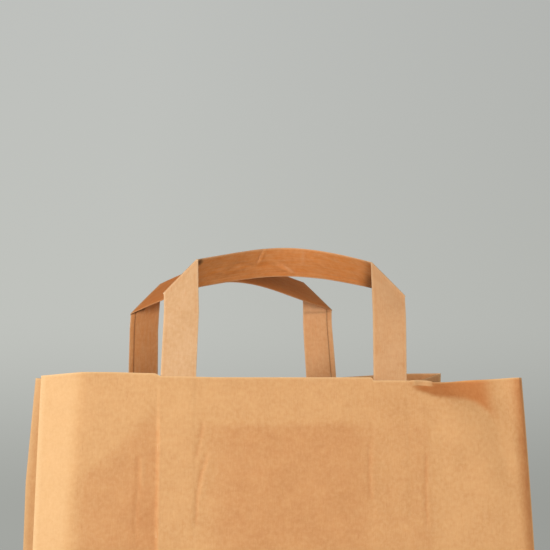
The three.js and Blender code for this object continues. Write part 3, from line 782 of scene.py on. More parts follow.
def gusset(side):
    """A gusset's points from the front corner to the rear corner, at every row."""
    corner_q = side * HALF_WIDTH
    front, rear = front_panel(np.array(corner_q), zz), rear_panel(np.array(corner_q), zz)
    middle = lerp(front, rear, 0.5)
    middle[..., 0] -= side * crease_in(zz)
    below = np.maximum(HALF_GUSSET - zz, 0)[..., None]
    split = 1 - below / HALF_GUSSET
    shares = (np.arange(GUSSET_CELLS + 1) / GUSSET_CELLS)[None, :, None]
    halves = []
    for corner, sign in ((front, -1), (rear, 1)):
        diagonal = middle + np.array([0, sign, 0]) * below
        near = lerp(corner, diagonal, shares / np.maximum(split, TINY))
        past = np.where(below > 0, (shares - split) / np.maximum(1 - split, TINY), 1)
        halves.append(np.where(shares < split, near, lerp(diagonal, middle, past)))
    points = np.concatenate([halves[0], halves[1][:, -2::-1]], axis=1)
    along = np.linspace(0, 1, points.shape[1])
    points[..., 2] += lerp(front_lift(corner_q, zz), rear_lift(corner_q, zz), along**2)
    points[..., 2] -= GUSSET_SAG * fade_down(zz) * np.sin(along * math.pi)
    return points


front = dented(front_panel(front_q, zz), front_q, zz)
front[..., 2] += front_lift(front_q, zz)
rear = rear_panel(rear_q, zz)
rear[..., 2] += rear_lift(rear_q, zz)
wall = np.concatenate([front, gusset(1)[:, :-1], rear, gusset(-1)[:, :0:-1]], axis=1)
print("points of the tube:", wall.shape[:2])

# %% [markdown]
# The relief is added along the sheet's own normals. After that each point gets its painted values: folds and
# the rim are rubbed, the glued areas are stained and cockled, and the paper near a fold stays smooth.

# %% Relief of the tube
GUSSET_BULGE = 1.6  # of each half of a gusset
side_run = np.linspace(0, GUSSET_DEPTH, 2 * GUSSET_CELLS + 1)[None, :-1].repeat(len(heights), 0)


def unit(v):
    return v / np.linalg.norm(v, axis=-1, keepdims=True)


def round_tube(front, right, rear, left):
    """Joins values of the four walls into the columns of the tube."""
    return np.concatenate([front, right, rear, left], axis=1)


run = round_tube(
    front_q + HALF_WIDTH,
    BAG_WIDTH + side_run,
    BAG_WIDTH + GUSSET_DEPTH + HALF_WIDTH - rear_q,
    2 * BAG_WIDTH + GUSSET_DEPTH + side_run,
)
bulge = np.sin(2 * math.pi * side_run / GUSSET_DEPTH) ** 2 * smoothstep(zz, HALF_GUSSET, 2 * HALF_GUSSET)
bulge = GUSSET_BULGE * bulge
relief = round_tube(front_relief(front_q, zz), bulge, rear_relief(rear_q, zz), bulge)
around = np.roll(wall, -1, axis=1) - np.roll(wall, 1, axis=1)
climb = np.gradient(wall, axis=0)
wall = wall + unit(np.cross(around, climb)) * relief[..., None]
print("relief from", round(float(relief.min()), 2), "to", round(float(relief.max()), 2), "mm")

# %% Painted values of the tube
FOLD_WEAR, RIM_WEAR = (0.6, 1.3), (0.9, 0.8)  # strength and width of rubbed places
BASE_WEAR, CREASE_WEAR = (0.5, 1.5), (0.4, 1.6)
# painted light on the sliver of the rim that stands up again
SLIVER_PAINTED_LIGHT = 0.25
FOLD_CALM, FOOT_CALM = (0, 9), (3, 25)  # distances from a fold, and heights, over which cockles begin
PLAIN_COCKLE, GLUED_COCKLE = 0.45, 0.75
GUSSET_SHADE_PLACES = (60, 130)  # painted shade on the right gusset between these places, towards the rear corner
GUSSET_PAINTED_SHADE = 0.45  # painted shade on both gussets, which are folded in
# how much redder the painted shade is in the dent and on the rolled right edge, and the edge's places
DENT_WARM_SHADE, EDGE_WARM_SHADE, EDGE_WARM_SHADE_PLACES = 0.5, 0.3, (HALF_WIDTH - 14, HALF_WIDTH - 3)


def wear(distance, strength_and_width):
    strength, width = strength_and_width
    return strength * bump(distance, width)


blank = 0 * side_run
from_corner = np.minimum(side_run, GUSSET_DEPTH - side_run)
from_diagonal = np.where(zz > HALF_GUSSET, np.inf, np.abs(from_corner - zz))
side_fold = np.minimum.reduce([from_corner, np.abs(side_run - HALF_GUSSET), from_diagonal])
fold = round_tube(HALF_WIDTH - np.abs(front_q), side_fold, HALF_WIDTH - np.abs(rear_q), side_fold)
rub_and_light = wear(fold, FOLD_WEAR) + wear(BAG_HEIGHT - zz, RIM_WEAR) + wear(zz, BASE_WEAR)
rub_and_light = rub_and_light + wear(zz - BOTTOM_FOLD, CREASE_WEAR)
# painted light on the bent band and on the dent's sliver, added to the wear
rub_and_light[:, : front_q.shape[1]] += front_rub_and_light(front_q, zz) + SLIVER_PAINTED_LIGHT * dent_sliver(front_q, zz)

# painted shade in the dent, added to the front's glue stains and painted shade
front_tone = np.clip(front_stain_and_shade(front_q, zz) + dent_painted_shade(front_q, zz), 0, 1)
# painted shade in the right gusset towards the rear corner
corner_shade = CORNER_PAINTED_SHADE * smoothstep(side_run, *GUSSET_SHADE_PLACES) * smoothstep(zz, *CORNER_SHADE_HEIGHTS)
stain_and_shade = round_tube(front_tone, corner_shade, rear_stain_and_shade(rear_q, zz), blank)
calm = smoothstep(fold, *FOLD_CALM) * smoothstep(zz, *FOOT_CALM)
cockle = calm * (PLAIN_COCKLE + GLUED_COCKLE * stain_and_shade)
# painted shade on both gussets
stain_and_shade = np.clip(stain_and_shade + GUSSET_PAINTED_SHADE * round_tube(0 * front_q, blank + 1, 0 * rear_q, blank + 1), 0, 1)
# painted shade made redder, in the dent and on the rolled right edge
shaded = DENT_WARM_SHADE * dent_painted_shade(front_q, zz) + EDGE_WARM_SHADE * smoothstep(front_q, *EDGE_WARM_SHADE_PLACES)
painted_warm_shade = round_tube(shaded, blank, 0 * rear_q, blank)
wall_values = dict(cockle=cockle, rub_and_light=np.clip(rub_and_light, 0, 1), stain_and_shade=stain_and_shade, painted_warm_shade=painted_warm_shade)
print("mean of each value:", {key: round(float(value.mean()), 3) for key, value in wall_values.items()})

# %% [markdown]
# The floor's grid shares its border with the tube's first row. Below it lie the two long bottom flaps, each
# folded in from a panel's foot, the second under the floor and over the first.

# %% The floor and the bottom flaps
PANEL_CELLS = front_q.shape[1]
SIDE_CELLS = 2 * GUSSET_CELLS
ROUND = wall.shape[1]
FLAP_LAP = 30  # the flaps lie over each other by this much
FLAP_BEND = (0, 0.4, 1.5)  # rows of a flap's bend, as distances from its fold
FLAP_FLAT, FLAP_ROWS, FLAP_COLUMNS = 4, 14, 41  # where its flat rows begin, and how many there are
FLAP_EDGE_WEAR, FLAP_FOLD_WEAR = (0.6, 1.2), (0.6, 1.5)
FLAP_GLUE, FLAP_GLUE_TONE = (60, 95, 12), 0.6


def floor_numbers(first_new):
    """Point numbers of the floor's grid: its border is the tube's first row, and its inside is new."""
    numbers = np.zeros((SIDE_CELLS + 1, PANEL_CELLS + 1), int)
    numbers[0] = np.arange(PANEL_CELLS + 1)
    numbers[:, -1] = PANEL_CELLS + np.arange(SIDE_CELLS + 1)
    numbers[-1] = (PANEL_CELLS + SIDE_CELLS + np.arange(PANEL_CELLS + 1))[::-1]
    numbers[:, 0] = ((2 * PANEL_CELLS + SIDE_CELLS + np.arange(SIDE_CELLS + 1)) % ROUND)[::-1]
    inside = np.arange((SIDE_CELLS - 1) * (PANEL_CELLS - 1)).reshape(SIDE_CELLS - 1, -1)
    numbers[1:-1, 1:-1] = first_new + inside
    return numbers


def flap(sign, level):
    """A long bottom flap's grid, from the fold at the panel's foot to its free edge past the middle, with the
    distances of its points from the fold and along it."""
    rows = np.concatenate([FLAP_BEND, np.linspace(FLAP_FLAT, HALF_GUSSET + FLAP_LAP / 2, FLAP_ROWS)])
    run_in, across = np.meshgrid(rows, np.linspace(-1, 1, FLAP_COLUMNS), indexing="ij")
    z = np.where(run_in == 0, FLOOR, level)
    grid = stacked(-sign * across * (HALF_WIDTH - run_in), sign * (HALF_GUSSET - run_in), z)
    return grid, run_in, across * HALF_WIDTH


print("a flap reaches in by", HALF_GUSSET + FLAP_LAP / 2, "mm")

# %% Joining tube, floor and flaps
tube_quads = grid_quads(len(heights), ROUND, True)
side_cell = (tube_quads[:, 0, 1] - PANEL_CELLS) % (PANEL_CELLS + SIDE_CELLS)
falling = (tube_quads[:, 0, 0] < GUSSET_CELLS) & (side_cell >= GUSSET_CELLS) & (side_cell < SIDE_CELLS)
tube_quads[falling] = np.roll(tube_quads[falling], -1, axis=1)  # a cell's diagonal then lies in the fold
run_closed = np.concatenate([run, np.full((len(heights), 1), 2 * (BAG_WIDTH + GUSSET_DEPTH))], axis=1)
parts = [wall.reshape(-1, 3)]
quads = [point_numbers(tube_quads, ROUND)]
uvs = [stacked(run_closed[tube_quads[..., 0], tube_quads[..., 1]], heights[tube_quads[..., 0]])]
painted = {key: [value.ravel()] for key, value in wall_values.items()}

numbers = floor_numbers(len(parts[0]))
front_row, rear_row = wall[0, numbers[0]], wall[0, numbers[-1]]
inner = lerp(front_row, rear_row, np.linspace(0, 1, SIDE_CELLS + 1)[:, None, None])[1:-1, 1:-1]
cells = grid_quads(SIDE_CELLS + 1, PANEL_CELLS + 1, False)[:, ::-1]
floor_quads = numbers[cells[..., 0], cells[..., 1]]
parts.append(inner.reshape(-1, 3))
quads.append(floor_quads)
uvs.append(np.concatenate(parts)[floor_quads][..., :2] - np.array([0, BAG_WIDTH]))
for values in painted.values():
    values.append(np.zeros(len(parts[-1])))

for sign, level in ((-1, PAPER / 2), (1, 3 * PAPER / 2)):
    grid, run_in, across = flap(sign, level)
    cells = grid_quads(*grid.shape[:2], False)
    quads.append(sum(len(p) for p in parts) + point_numbers(cells, FLAP_COLUMNS))
    uvs.append(stacked(across, -run_in)[cells[..., 0], cells[..., 1]])
    parts.append(grid.reshape(-1, 3))
    worn = wear(run_in.max() - run_in, FLAP_EDGE_WEAR) + wear(run_in, FLAP_FOLD_WEAR)
    flap_values = dict(rub_and_light=np.clip(worn, 0, 1), stain_and_shade=FLAP_GLUE_TONE * window(run_in, *FLAP_GLUE))
    for key, values in painted.items():
        values.append(flap_values.get(key, 0 * run_in).ravel())
print("floor cells:", len(floor_quads), "flap cells:", len(quads[-1]))

# %% The bag's paper
bag_values = {key: np.concatenate(values) for key, values in painted.items()}
bag_points, bag_quads, bag_uvs = [np.concatenate(pieces) for pieces in (parts, quads, uvs)]
bag = make_mesh("carrier_bag_sheet", bag_points, bag_quads, bag_uvs, bag_values)
finish_paper(bag, SHEET_KRAFT, PAPER)

# %% [markdown]
# ## The handles
# A handle is one paper tape, folded lengthwise to a few plies and then folded over at two corners, each along
# a diagonal. Straight lines across the tape stay straight in such folds, so a handle is laid out as rulings,
# each from the tape's outer edge to its inner edge: level ones up a leg, a fan to the diagonal, a tight bend
# round the fold, and a smooth arch between the two folds. A section with rounded edges and the last ply's
# step is then swept along them. Geometry Nodes could sweep a curve, but it would not keep the rulings
# straight at the folds.

# %% Rulings of a leg
LEG_INSET = PAPER / 2 + GLUE_GAP + TAPE_THICKNESS / 2
RULING_CELLS = dict(glued=12, free=26, fan=24, corner=10, strip=110)
LEG_CELLS = sum(RULING_CELLS[stretch] for stretch in ("glued", "free", "fan", "corner"))
FOLD_CELL = LEG_CELLS - RULING_CELLS["corner"] // 2  # the ruling on a corner's fold
SPREAD_TOP, SPREAD_FOOT = 42, (-35, -5)  # heights over the rim between which a leg is spread
SPREAD_EDGES = np.array([[1], [0.4]])  # shares of the spread for a leg's outer and inner edge


def leg_rulings(panel, inward, handle, side):
    """Rulings of one leg up to and round its corner fold, and the direction in which the tape leaves it."""
    leg = 0 if side < 0 else 1
    place = np.array(handle["shift"] + side * (HANDLE_SPAN - TAPE_WIDTH) / 2)
    fan_z = BAG_HEIGHT + handle["corner"][leg] - TAPE_WIDTH / 2
    free_z = BAG_HEIGHT - PATCH_TOP

    def across_at(z):
        turn = math.radians(handle["twist"][leg]) * np.clip((z - free_z) / (fan_z - free_z), 0, 1)
        return stacked(-side * np.cos(turn), -inward * np.sin(turn), 0 * turn), np.abs(np.sin(turn))

    def level(z):
        across, turned = across_at(z)
        centre = panel(place, z)
        centre[..., 0] += handle["lean"][leg] * np.clip((z - free_z) / (fan_z - free_z), 0, 1)
        centre[..., 1] += inward * (LEG_INSET + turned * TAPE_WIDTH / 2)
        return stacked(centre - across * TAPE_WIDTH / 2, centre + across * TAPE_WIDTH / 2).swapaxes(-1, -2)

    ends = level(np.array([free_z, fan_z]))
    across = across_at(np.array(fan_z))[0]
    up = ends[1].mean(0) - ends[0].mean(0)
    up = unit(up - across * (up @ across))
    inside = np.cross(across, up) * side * inward
    shares = np.linspace(0, 1, RULING_CELLS["fan"] + 1)[1:, None]
    mitred = (0.5 + handle["mitre"][leg]) * TAPE_WIDTH
    fan = np.stack([ends[1][0] + up * shares * TAPE_WIDTH / 2, ends[1][1] + up * shares * mitred], 1)
    along, past = unit(across + up), unit(up - across)
    opened = math.radians(handle["open"][leg])
    turn = np.linspace(0, math.pi - opened, RULING_CELLS["corner"] + 1)[1:, None]
    move = FOLD_RADIUS * ((1 - np.cos(turn)) * inside + np.sin(turn) * past)
    bend = fan[-1] + move[:, None]
    leaving = inside * math.sin(opened) - past * math.cos(opened)
    glued = np.linspace(BAG_HEIGHT - LEG_DEPTH, free_z, RULING_CELLS["glued"] + 1)
    free = np.linspace(free_z, fan_z, RULING_CELLS["free"] + 1)[1:]
    return np.concatenate([level(glued), level(free), fan, bend]), unit(along + leaving)


def spread_leg(rulings, amount):
    """Moves a leg outwards at the rim, its outer edge more than its inner one."""
    over = rulings[..., 2] - BAG_HEIGHT
    share = np.clip((SPREAD_TOP - over) / SPREAD_TOP, 0, 1) * smoothstep(over, *SPREAD_FOOT)
    outwards = unit(rulings[:, :1] - rulings[:, 1:])
    return rulings + amount * share[..., None] * SPREAD_EDGES * outwards


print("rulings of a leg:", LEG_CELLS + 1)


# %% Rulings of a whole handle
def handle_rulings(panel, inward, handle):
    """Both legs and the arched strip between them, from the foot of the first leg to that of the second."""
    order = (-1, 1) if inward > 0 else (1, -1)
    (first, leave), (second, arrive) = [leg_rulings(panel, inward, handle, side) for side in order]
    t = np.linspace(0, 1, RULING_CELLS["strip"] + 1)[1:-1, None, None]
    start, end = first[-1], second[-1]
    reach = handle["arc"] * np.linalg.norm(end - start, axis=-1, keepdims=True)
    drop = np.array([[0, 0, handle["drop"]], [0, 0, 0]])
    lifts = [np.array([0, 0, handle["lift"][0 if side < 0 else 1]]) for side in order]
    a = start + reach * leave + lifts[0] - drop
    b = end + reach * arrive + lifts[1] - drop
    strip = (1 - t) ** 3 * start + 3 * (1 - t) ** 2 * t * a + 3 * (1 - t) * t**2 * b + t**3 * end
    return np.concatenate([spread_leg(first, handle["spread"]), strip, second[::-1]])


def tape_run(rulings):
    """Distance of each ruling along the tape from the middle of its strip."""
    steps = np.linalg.norm(np.diff(rulings.mean(1), axis=0), axis=1)
    run = np.concatenate([[0], np.cumsum(steps)])
    return run - (run[LEG_CELLS] + run[-1 - LEG_CELLS]) / 2


front_rulings = handle_rulings(front_panel, 1, FRONT_HANDLE)
rear_rulings = handle_rulings(rear_panel, -1, REAR_HANDLE)
for rulings in (front_rulings, rear_rulings):
    places = tape_run(rulings)
    lengths = np.ptp(places), np.ptp(places[[LEG_CELLS, -1 - LEG_CELLS]])
    print("lengths of a tape and of its strip in mm:", np.round(lengths).astype(int).tolist())


# %% Section of the folded tape
FACE_CELLS, EDGE_CELLS = 15, 5
PLY_STEP = ((0.1, 1.9), (0.35, 1.9), (0.7, 1))  # the last ply's step: past its edge, and height in papers
UNDER_PLY = (2.4, 1.2)  # more places across the tape, between that step and the outer edge
half = TAPE_THICKNESS / 2
arc = np.linspace(math.pi / 2, -math.pi / 2, EDGE_CELLS + 1)[1:-1]
outer_face = [(p, half) for p in np.linspace(half, TAPE_WIDTH - half, FACE_CELLS + 1)]
inner_edge = [(TAPE_WIDTH - half + half * math.cos(a), half * math.sin(a)) for a in arc]
inner_face = [(p, -half) for p in np.linspace(TAPE_WIDTH - half, TAPE_SEAM, FACE_CELLS)]
ply_step = [(TAPE_SEAM - past, papers * PAPER - half) for past, papers in PLY_STEP]
under_ply = [(p, PAPER - half) for p in (*UNDER_PLY, half)]
outer_edge = [(half - half * math.cos(a), (half - PAPER / 2) * math.sin(-a) + PAPER / 2) for a in arc]
tape_section = np.array(outer_face + inner_edge + inner_face + ply_step + under_ply + outer_edge)
STEP_MIDDLE = len(outer_face) + len(inner_edge) + len(inner_face) + 0.5  # number of the section's point there
print("points of the tape's section:", len(tape_section))

# %% [markdown]
# A tape's wear is written in its own coordinates: the distance from the strip's middle, and the distance
# across from the tape's outer edge. Creases are short ridges and furrows in the strip. Painted shadows are
# dark lines or areas, each on the outer face (side 1) or the inner face (side -1), where a fold stands open,
# and where the tape lies in shade.

# %% Relief and painted values of a tape
TAPE_BOW = 0.12  # the strip bows out across by this much
EDGE_RUB, FOLD_RUB = (0.55, 0.5), (0.5, 0.8)  # strength and width
EDGE_LINES, EDGE_LINE_PLACE = (0.25, 0.5), 1.3  # dark lines beside the folded edges
STRIP_SOFT = 10  # the strip's tones begin softly at its corners
HALVES = (-50, 50)  # between these places the first end's tones change into the second's
STRIP_INSIDE = 0.95  # stain of the strip's inner face: its browner inner ply, with painted shade
# painted shadow along the last ply's step, and on the legs' outer faces
STEP_PAINTED_SHADOW, STEP_SHADOW_WIDTH, FACE_PAINTED_SHADOW = 0.7, 1.1, 0.6
TAPE_PUCKER = 0.6


def paint_tape(run, handle, creases, outer_strip_shades, painted_shadows):
    """Relief and painted values, with painted shade on the strip's outer face at its first and second end."""
    s, t = np.meshgrid(run, tape_section[:, 0], indexing="ij")
    height = tape_section[:, 1]
    from_edge = np.minimum(t, TAPE_WIDTH - t)
    relief = TAPE_BOW * np.sin(math.pi * t / TAPE_WIDTH)
    from_fold = np.minimum(np.abs(s - run[FOLD_CELL]), np.abs(s - run[-1 - FOLD_CELL]))
    rub_and_light = wear(from_edge, EDGE_RUB) + wear(from_fold, FOLD_RUB)
    furrow_shade = 0
    for points, width, rise, worn in creases:
        mark = stroke(s, t, points, width)
        relief = relief + rise * mark
        rub_and_light = rub_and_light + max(worn, 0) * mark
        furrow_shade = furrow_shade + max(-worn, 0) * mark
    strip = window(s, run[LEG_CELLS], run[-1 - LEG_CELLS], STRIP_SOFT)
    second = smoothstep(s, *HALVES)
    inside = lerp(lerp(*handle["tones"], second), STRIP_INSIDE, strip)
    # painted shade on the strip's outer face
    outside = lerp(*outer_strip_shades, second) * strip + wear(from_edge - EDGE_LINE_PLACE, EDGE_LINES)
    # painted shade on the legs' outer faces
    face = lerp(*handle["faces"], second) * (height > 0) * (1 - strip)
    stain_and_shade = np.where(height < 0, inside, outside) + furrow_shade + face
    step_line = bump(np.arange(len(tape_section)) - STEP_MIDDLE, STEP_SHADOW_WIDTH)
    painted_shadow = STEP_PAINTED_SHADOW * step_line * (1 - strip) + FACE_PAINTED_SHADOW * face
    # painted shadows, each on one face of the tape
    for points, width, strength, side in painted_shadows:
        painted_shadow = painted_shadow + strength * stroke(s, t, points, width) * (height * side > 0)
    values = dict(cockle=TAPE_PUCKER + 0 * s, rub_and_light=rub_and_light, stain_and_shade=stain_and_shade, painted_shadow=painted_shadow, painted_warm_shade=handle["painted_warm_shade"] * strip)
    return relief, {key: np.clip(value, 0, 1) for key, value in values.items()}


print("a tape's bow is", TAPE_BOW, "mm over", TAPE_WIDTH, "mm")


# %% Sweeping the section along the rulings
def tape(name, rulings, handle, creases, outer_strip_shades, painted_shadows):
    run = tape_run(rulings)
    relief, values = paint_tape(run, handle, creases, outer_strip_shades, painted_shadows)
    outer, inner = rulings[:, :1], rulings[:, 1:]
    sides = unit(np.cross(unit(inner - outer), np.gradient(rulings, axis=0)))
    share = (tape_section[:, 0] / TAPE_WIDTH)[None, :, None]
    normal = unit(lerp(sides[:, :1], sides[:, 1:], share))
    points = lerp(outer, inner, share) + normal * (tape_section[:, 1] + relief)[..., None]
    size = len(tape_section)
    cells = grid_quads(len(run), size, True)
    closed = np.vstack([tape_section, tape_section[:1]])
    girth = np.concatenate([[0], np.cumsum(np.hypot(*np.diff(closed, axis=0).T))])
    uv = stacked(girth[cells[..., 1]], run[cells[..., 0]])
    piece = make_mesh(name, points.reshape(-1, 3), point_numbers(cells, size), uv, values)
    close_ends(piece, size)
    print(name, "quads:", len(cells))
    return piece


def close_ends(piece, size):
    """Closes the two cut ends of a swept tape with one face each."""
    shape = bmesh.new()
    shape.from_mesh(piece.data)
    shape.verts.ensure_lookup_table()
    shape.faces.new(shape.verts[:size][::-1])
    shape.faces.new(shape.verts[-size:])
    shape.to_mesh(piece.data)
    shape.free()


# %% Both handles
FRONT_CREASES = [  # a line in the tape, its width, height and tone: rubbed over 0, and below 0 shade painted into the furrow
    ([(-11, 21), (-13, 12)], 0.9, 0.6, 0.2),
    ([(-9, 20), (-11, 11)], 1.0, -0.4, -0.3),
    ([(0, 11), (8, 6), (15, 4)], 1.4, -0.5, 0),
    ([(9, 8), (14, 4)], 0.9, 0.7, 0.3),
    ([(-24, 10), (-40, 7), (-56, 10)], 1.2, -0.4, -0.3),
    ([(-30, 3), (-38, 9)], 1.6, 0.35, 0),
    ([(-34, 13), (-14, 9), (8, 10)], 1.3, 0.45, 0),
    ([(28, 15), (36, 10)], 1.4, -0.25, 0),
    ([(24, 20), (22, 12)], 1.4, 0.3, 0.15),
    ([(-52, 6), (-44, 14)], 2.4, -0.15, 0),
]
REAR_CREASES = [
    ([(10, 4), (2, 14)], 1.2, 0.25, 0.1),
    ([(-26, 18), (-34, 8)], 1.3, -0.25, 0.1),
    ([(38, 12), (46, 18)], 1.4, 0.25, 0.1),
    ([(-84, 9), (-89, 18)], 4, 0.2, 0.35),
]
FRONT_PAINTED_SHADOWS = [  # painted shadow: a line in the tape, its width, its strength and its side
    ([(-87.5, 21.4), (-82, 18.6)], 1.4, 1, -1),
    ([(86, 19), (75, 10.8), (66, 1.2)], 3, 0.45, -1),
    ([(72, 6), (64, 0.5)], 4.5, 0.35, -1),
    ([(92, 20), (106, 6)], 12, 0.13, 1),
]
REAR_PAINTED_SHADOWS = [
    ([(-70, 11), (70, 11)], 22, 0.29, 1),
    ([(78, 0.4), (81, 5), (84, 10)], 0.8, 0.8, -1),
    ([(90, 11), (128, 11)], 15, 0.16, -1),
    ([(-80.4, 1), (-86.6, 6), (-90.3, 12), (-93, 21)], 0.7, 0.3, -1),
]
TAPE_COCKLE = dict(cockle_height=0.0001, cockle_width=0.006, wave_height=0.0004, wave_width=0.03)
# painted shade on the outer face of each strip's first and second end
FRONT_STRIP_SHADES, REAR_STRIP_SHADES = (0.4, 0.4), (0.9, 0.85)
FRONT_SEED, REAR_SEED = 7.0, 11.0
front_handle = tape("front_tape_handle", front_rulings, FRONT_HANDLE, FRONT_CREASES, FRONT_STRIP_SHADES, FRONT_PAINTED_SHADOWS)
rear_handle = tape("rear_tape_handle", rear_rulings, REAR_HANDLE, REAR_CREASES, REAR_STRIP_SHADES, REAR_PAINTED_SHADOWS)
for piece, seed in ((front_handle, FRONT_SEED), (rear_handle, REAR_SEED)):
    finish_paper(piece, TAPE_KRAFT, seed=seed, **TAPE_COCKLE)

# %% [markdown]
# ## The patches
# A patch is a plain piece of kraft paper pasted over both legs inside the bag. It follows the panel's relief
# and climbs over each leg, with a soft slope where the paper bridges the tape's edge.

# %% Both patches
BRIDGE = 1.5  # a patch's slope begins this far from a leg
PATCH_EDGE = (0.5, 2.5)  # its edges stand off the panel: height and width
PATCH_RUB = (0.7, 0.9)
FOOT_ROWS, UPPER_ROWS = 8, 30  # rows round the legs' feet, and above them
FOOT_TOP, UPPER_START = 2, 4  # heights over the legs' feet where the first end and the others begin
EVEN_COLUMNS, SLOPE_COLUMNS = 96, 9  # columns over the whole patch, and more at each edge of a leg
SLOPE_REACH = 3  # the latter reach this far to both sides of the edge
PATCH_COCKLE = dict(cockle_height=0.00006, wave_height=0.0, seed=15.0)
PATCH_PUCKER, PATCH_TONE = 0.8, 0.6
PATCH_CALM = (0, 6)  # distances from its edges over which cockles begin


def patch(name, panel, relief_of, inward, handle):
    a, b, c, d = leg_edges(handle)
    low, high = BAG_HEIGHT - LEG_DEPTH, BAG_HEIGHT - PATCH_TOP
    foot_rows = np.linspace(low - PATCH_BELOW, low + FOOT_TOP, FOOT_ROWS)
    rows = np.concatenate([foot_rows, np.linspace(low + UPPER_START, high, UPPER_ROWS)])
    even = np.linspace(a - PATCH_SIDE, d + PATCH_SIDE, EVEN_COLUMNS)
    at_edges = [np.linspace(e - SLOPE_REACH, e + SLOPE_REACH, SLOPE_COLUMNS) for e in (a, b, c, d)]
    z, q = np.meshgrid(rows, np.unique(np.concatenate([even, *at_edges])), indexing="ij")
    over = window(q, a - BRIDGE, b + BRIDGE, PATCH_SLOPE) + window(q, c - BRIDGE, d + BRIDGE, PATCH_SLOPE)
    over = over * smoothstep(z, low - PATCH_SLOPE - GLUE_GAP, low - GLUE_GAP)
    edge = np.minimum.reduce([q - q.min(), q.max() - q, z - z.min(), z.max() - z])
    off = PAPER + GLUE_GAP + (TAPE_THICKNESS + GLUE_GAP) * over - relief_of(q, z) + wear(edge, PATCH_EDGE)
    points = panel(q, z)
    points[..., 1] += inward * off
    cells = grid_quads(*points.shape[:2], False)[:, ::inward]
    uv = stacked(q, z)[cells[..., 0], cells[..., 1]]
    pucker = PATCH_PUCKER * smoothstep(edge, *PATCH_CALM)
    values = dict(cockle=pucker, rub_and_light=wear(edge, PATCH_RUB), stain_and_shade=PATCH_TONE * over)
    piece = make_mesh(name, points.reshape(-1, 3), point_numbers(cells, points.shape[1]), uv, values)
    return finish_paper(piece, PATCH_KRAFT, PAPER, **PATCH_COCKLE)


front_patch = patch("front_leg_patch", front_panel, front_relief, 1, FRONT_HANDLE)
rear_patch = patch("rear_leg_patch", rear_panel, rear_relief, -1, REAR_HANDLE)

# %% [markdown]
# ## Pieces on the frame
# Each piece of paper stands for one solid of the frame: it rides on the frame's root and hides that solid.

# %% Ride on the root and replace the solids
PIECES = (
    (bag, "bag_body", "kraft_sheet"),
    (front_handle, "front_handle", "kraft_tape"),
    (rear_handle, "rear_handle", "kraft_tape"),
    (front_patch, "front_handle_patch", "kraft_patch"),
    (rear_patch, "rear_handle_patch", "kraft_patch"),
)
for piece, node, slot in PIECES:
    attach(piece, "root")
    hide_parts(node)
    low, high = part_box(node)
    more = [round((a - b) / MM, 2) for a, b in zip(piece.dimensions, high - low)]
    print(node, "differs from its solid by mm:", more)

# %% [markdown]
# ## Stage, light and camera
# The bag stands in front of a plain grey studio ground that darkens a little downwards and to the right. The
# world shows that grey to the camera and in mirrored rays, and gives a weaker, even light to the paper.

# %% World
GROUND_TOP, GROUND_MIDDLE, GROUND_LOW = "#bec0bd", "#c0c2bd", "#a4a6a1"
# each range: two directions, as parts of a ray's unit vector, and what it goes from and to between them
LOW_RANGE = (-0.12, 0.065, 0.0, 1.0)  # upwards, from the low grey to the middle one
TOP_RANGE = (0.1, 0.4, 0.0, 1.0)  # from there to the top one
RIGHT_RANGE = (0.1, 0.48, 1.0, 0.87)  # to the right, the grey's strength
AMBIENT_RANGE = (0.0, 0.8, 0.19, 0.07)  # upwards, the strength of the even light


def shown_rays(tree):
    """1 for rays from the camera and for mirrored or refracted ones, which see the studio's grey."""
    rays = add_node(tree, "ShaderNodeLightPath").outputs
    total = rays["Is Camera Ray"]
    for kind in ("Is Glossy Ray", "Is Transmission Ray"):
        total = add_node(tree, "ShaderNodeMath", {0: total, 1: rays[kind]}, operation="ADD").outputs[0]
    return total


def studio_world():
    world = bpy.data.worlds.new("grey_studio")
    bpy.context.scene.world = world
    world.use_nodes = True
    tree = world.node_tree
    tree.nodes.clear()
    way = add_node(tree, "ShaderNodeTexCoord").outputs["Generated"]
    x, _, z = add_node(tree, "ShaderNodeSeparateXYZ", {0: way}).outputs
    ranges = ((z, LOW_RANGE), (z, TOP_RANGE), (x, RIGHT_RANGE), (z, AMBIENT_RANGE))
    shares = []
    for part, limits in ranges:
        sockets = {0: part, **dict(enumerate(limits, 1))}
        shares.append(add_node(tree, "ShaderNodeMapRange", sockets).outputs[0])
    low, top, strength, ambient = shares
    low.node.interpolation_type = "SMOOTHSTEP"
    grey = linear(GROUND_LOW)
    for share, code in ((low, GROUND_MIDDLE), (top, GROUND_TOP)):
        sockets = {0: share, 6: grey, 7: linear(code)}
        grey = add_node(tree, "ShaderNodeMix", sockets, data_type="RGBA").outputs[2]
    shown = add_node(tree, "ShaderNodeBackground", {"Color": grey, "Strength": strength}).outputs[0]
    light = add_node(tree, "ShaderNodeBackground", {"Color": (1, 1, 1, 1), "Strength": ambient}).outputs[0]
    mixed = add_node(tree, "ShaderNodeMixShader", {0: shown_rays(tree), 1: light, 2: shown}).outputs[0]
    add_node(tree, "ShaderNodeOutputWorld", {"Surface": mixed})
    print("world:", world.name)


studio_world()

# %% Floor
FLOOR_RADIUS, FLOOR_RINGS, FLOOR_SPOKES = 2.2, 24, 96
FLOOR_FADE = (0.5, 2.0)  # distances in metres between which the floor fades into the world's grey
FLOOR_GREY, FLOOR_ROUGHNESS = "#b4b6b2", 0.9


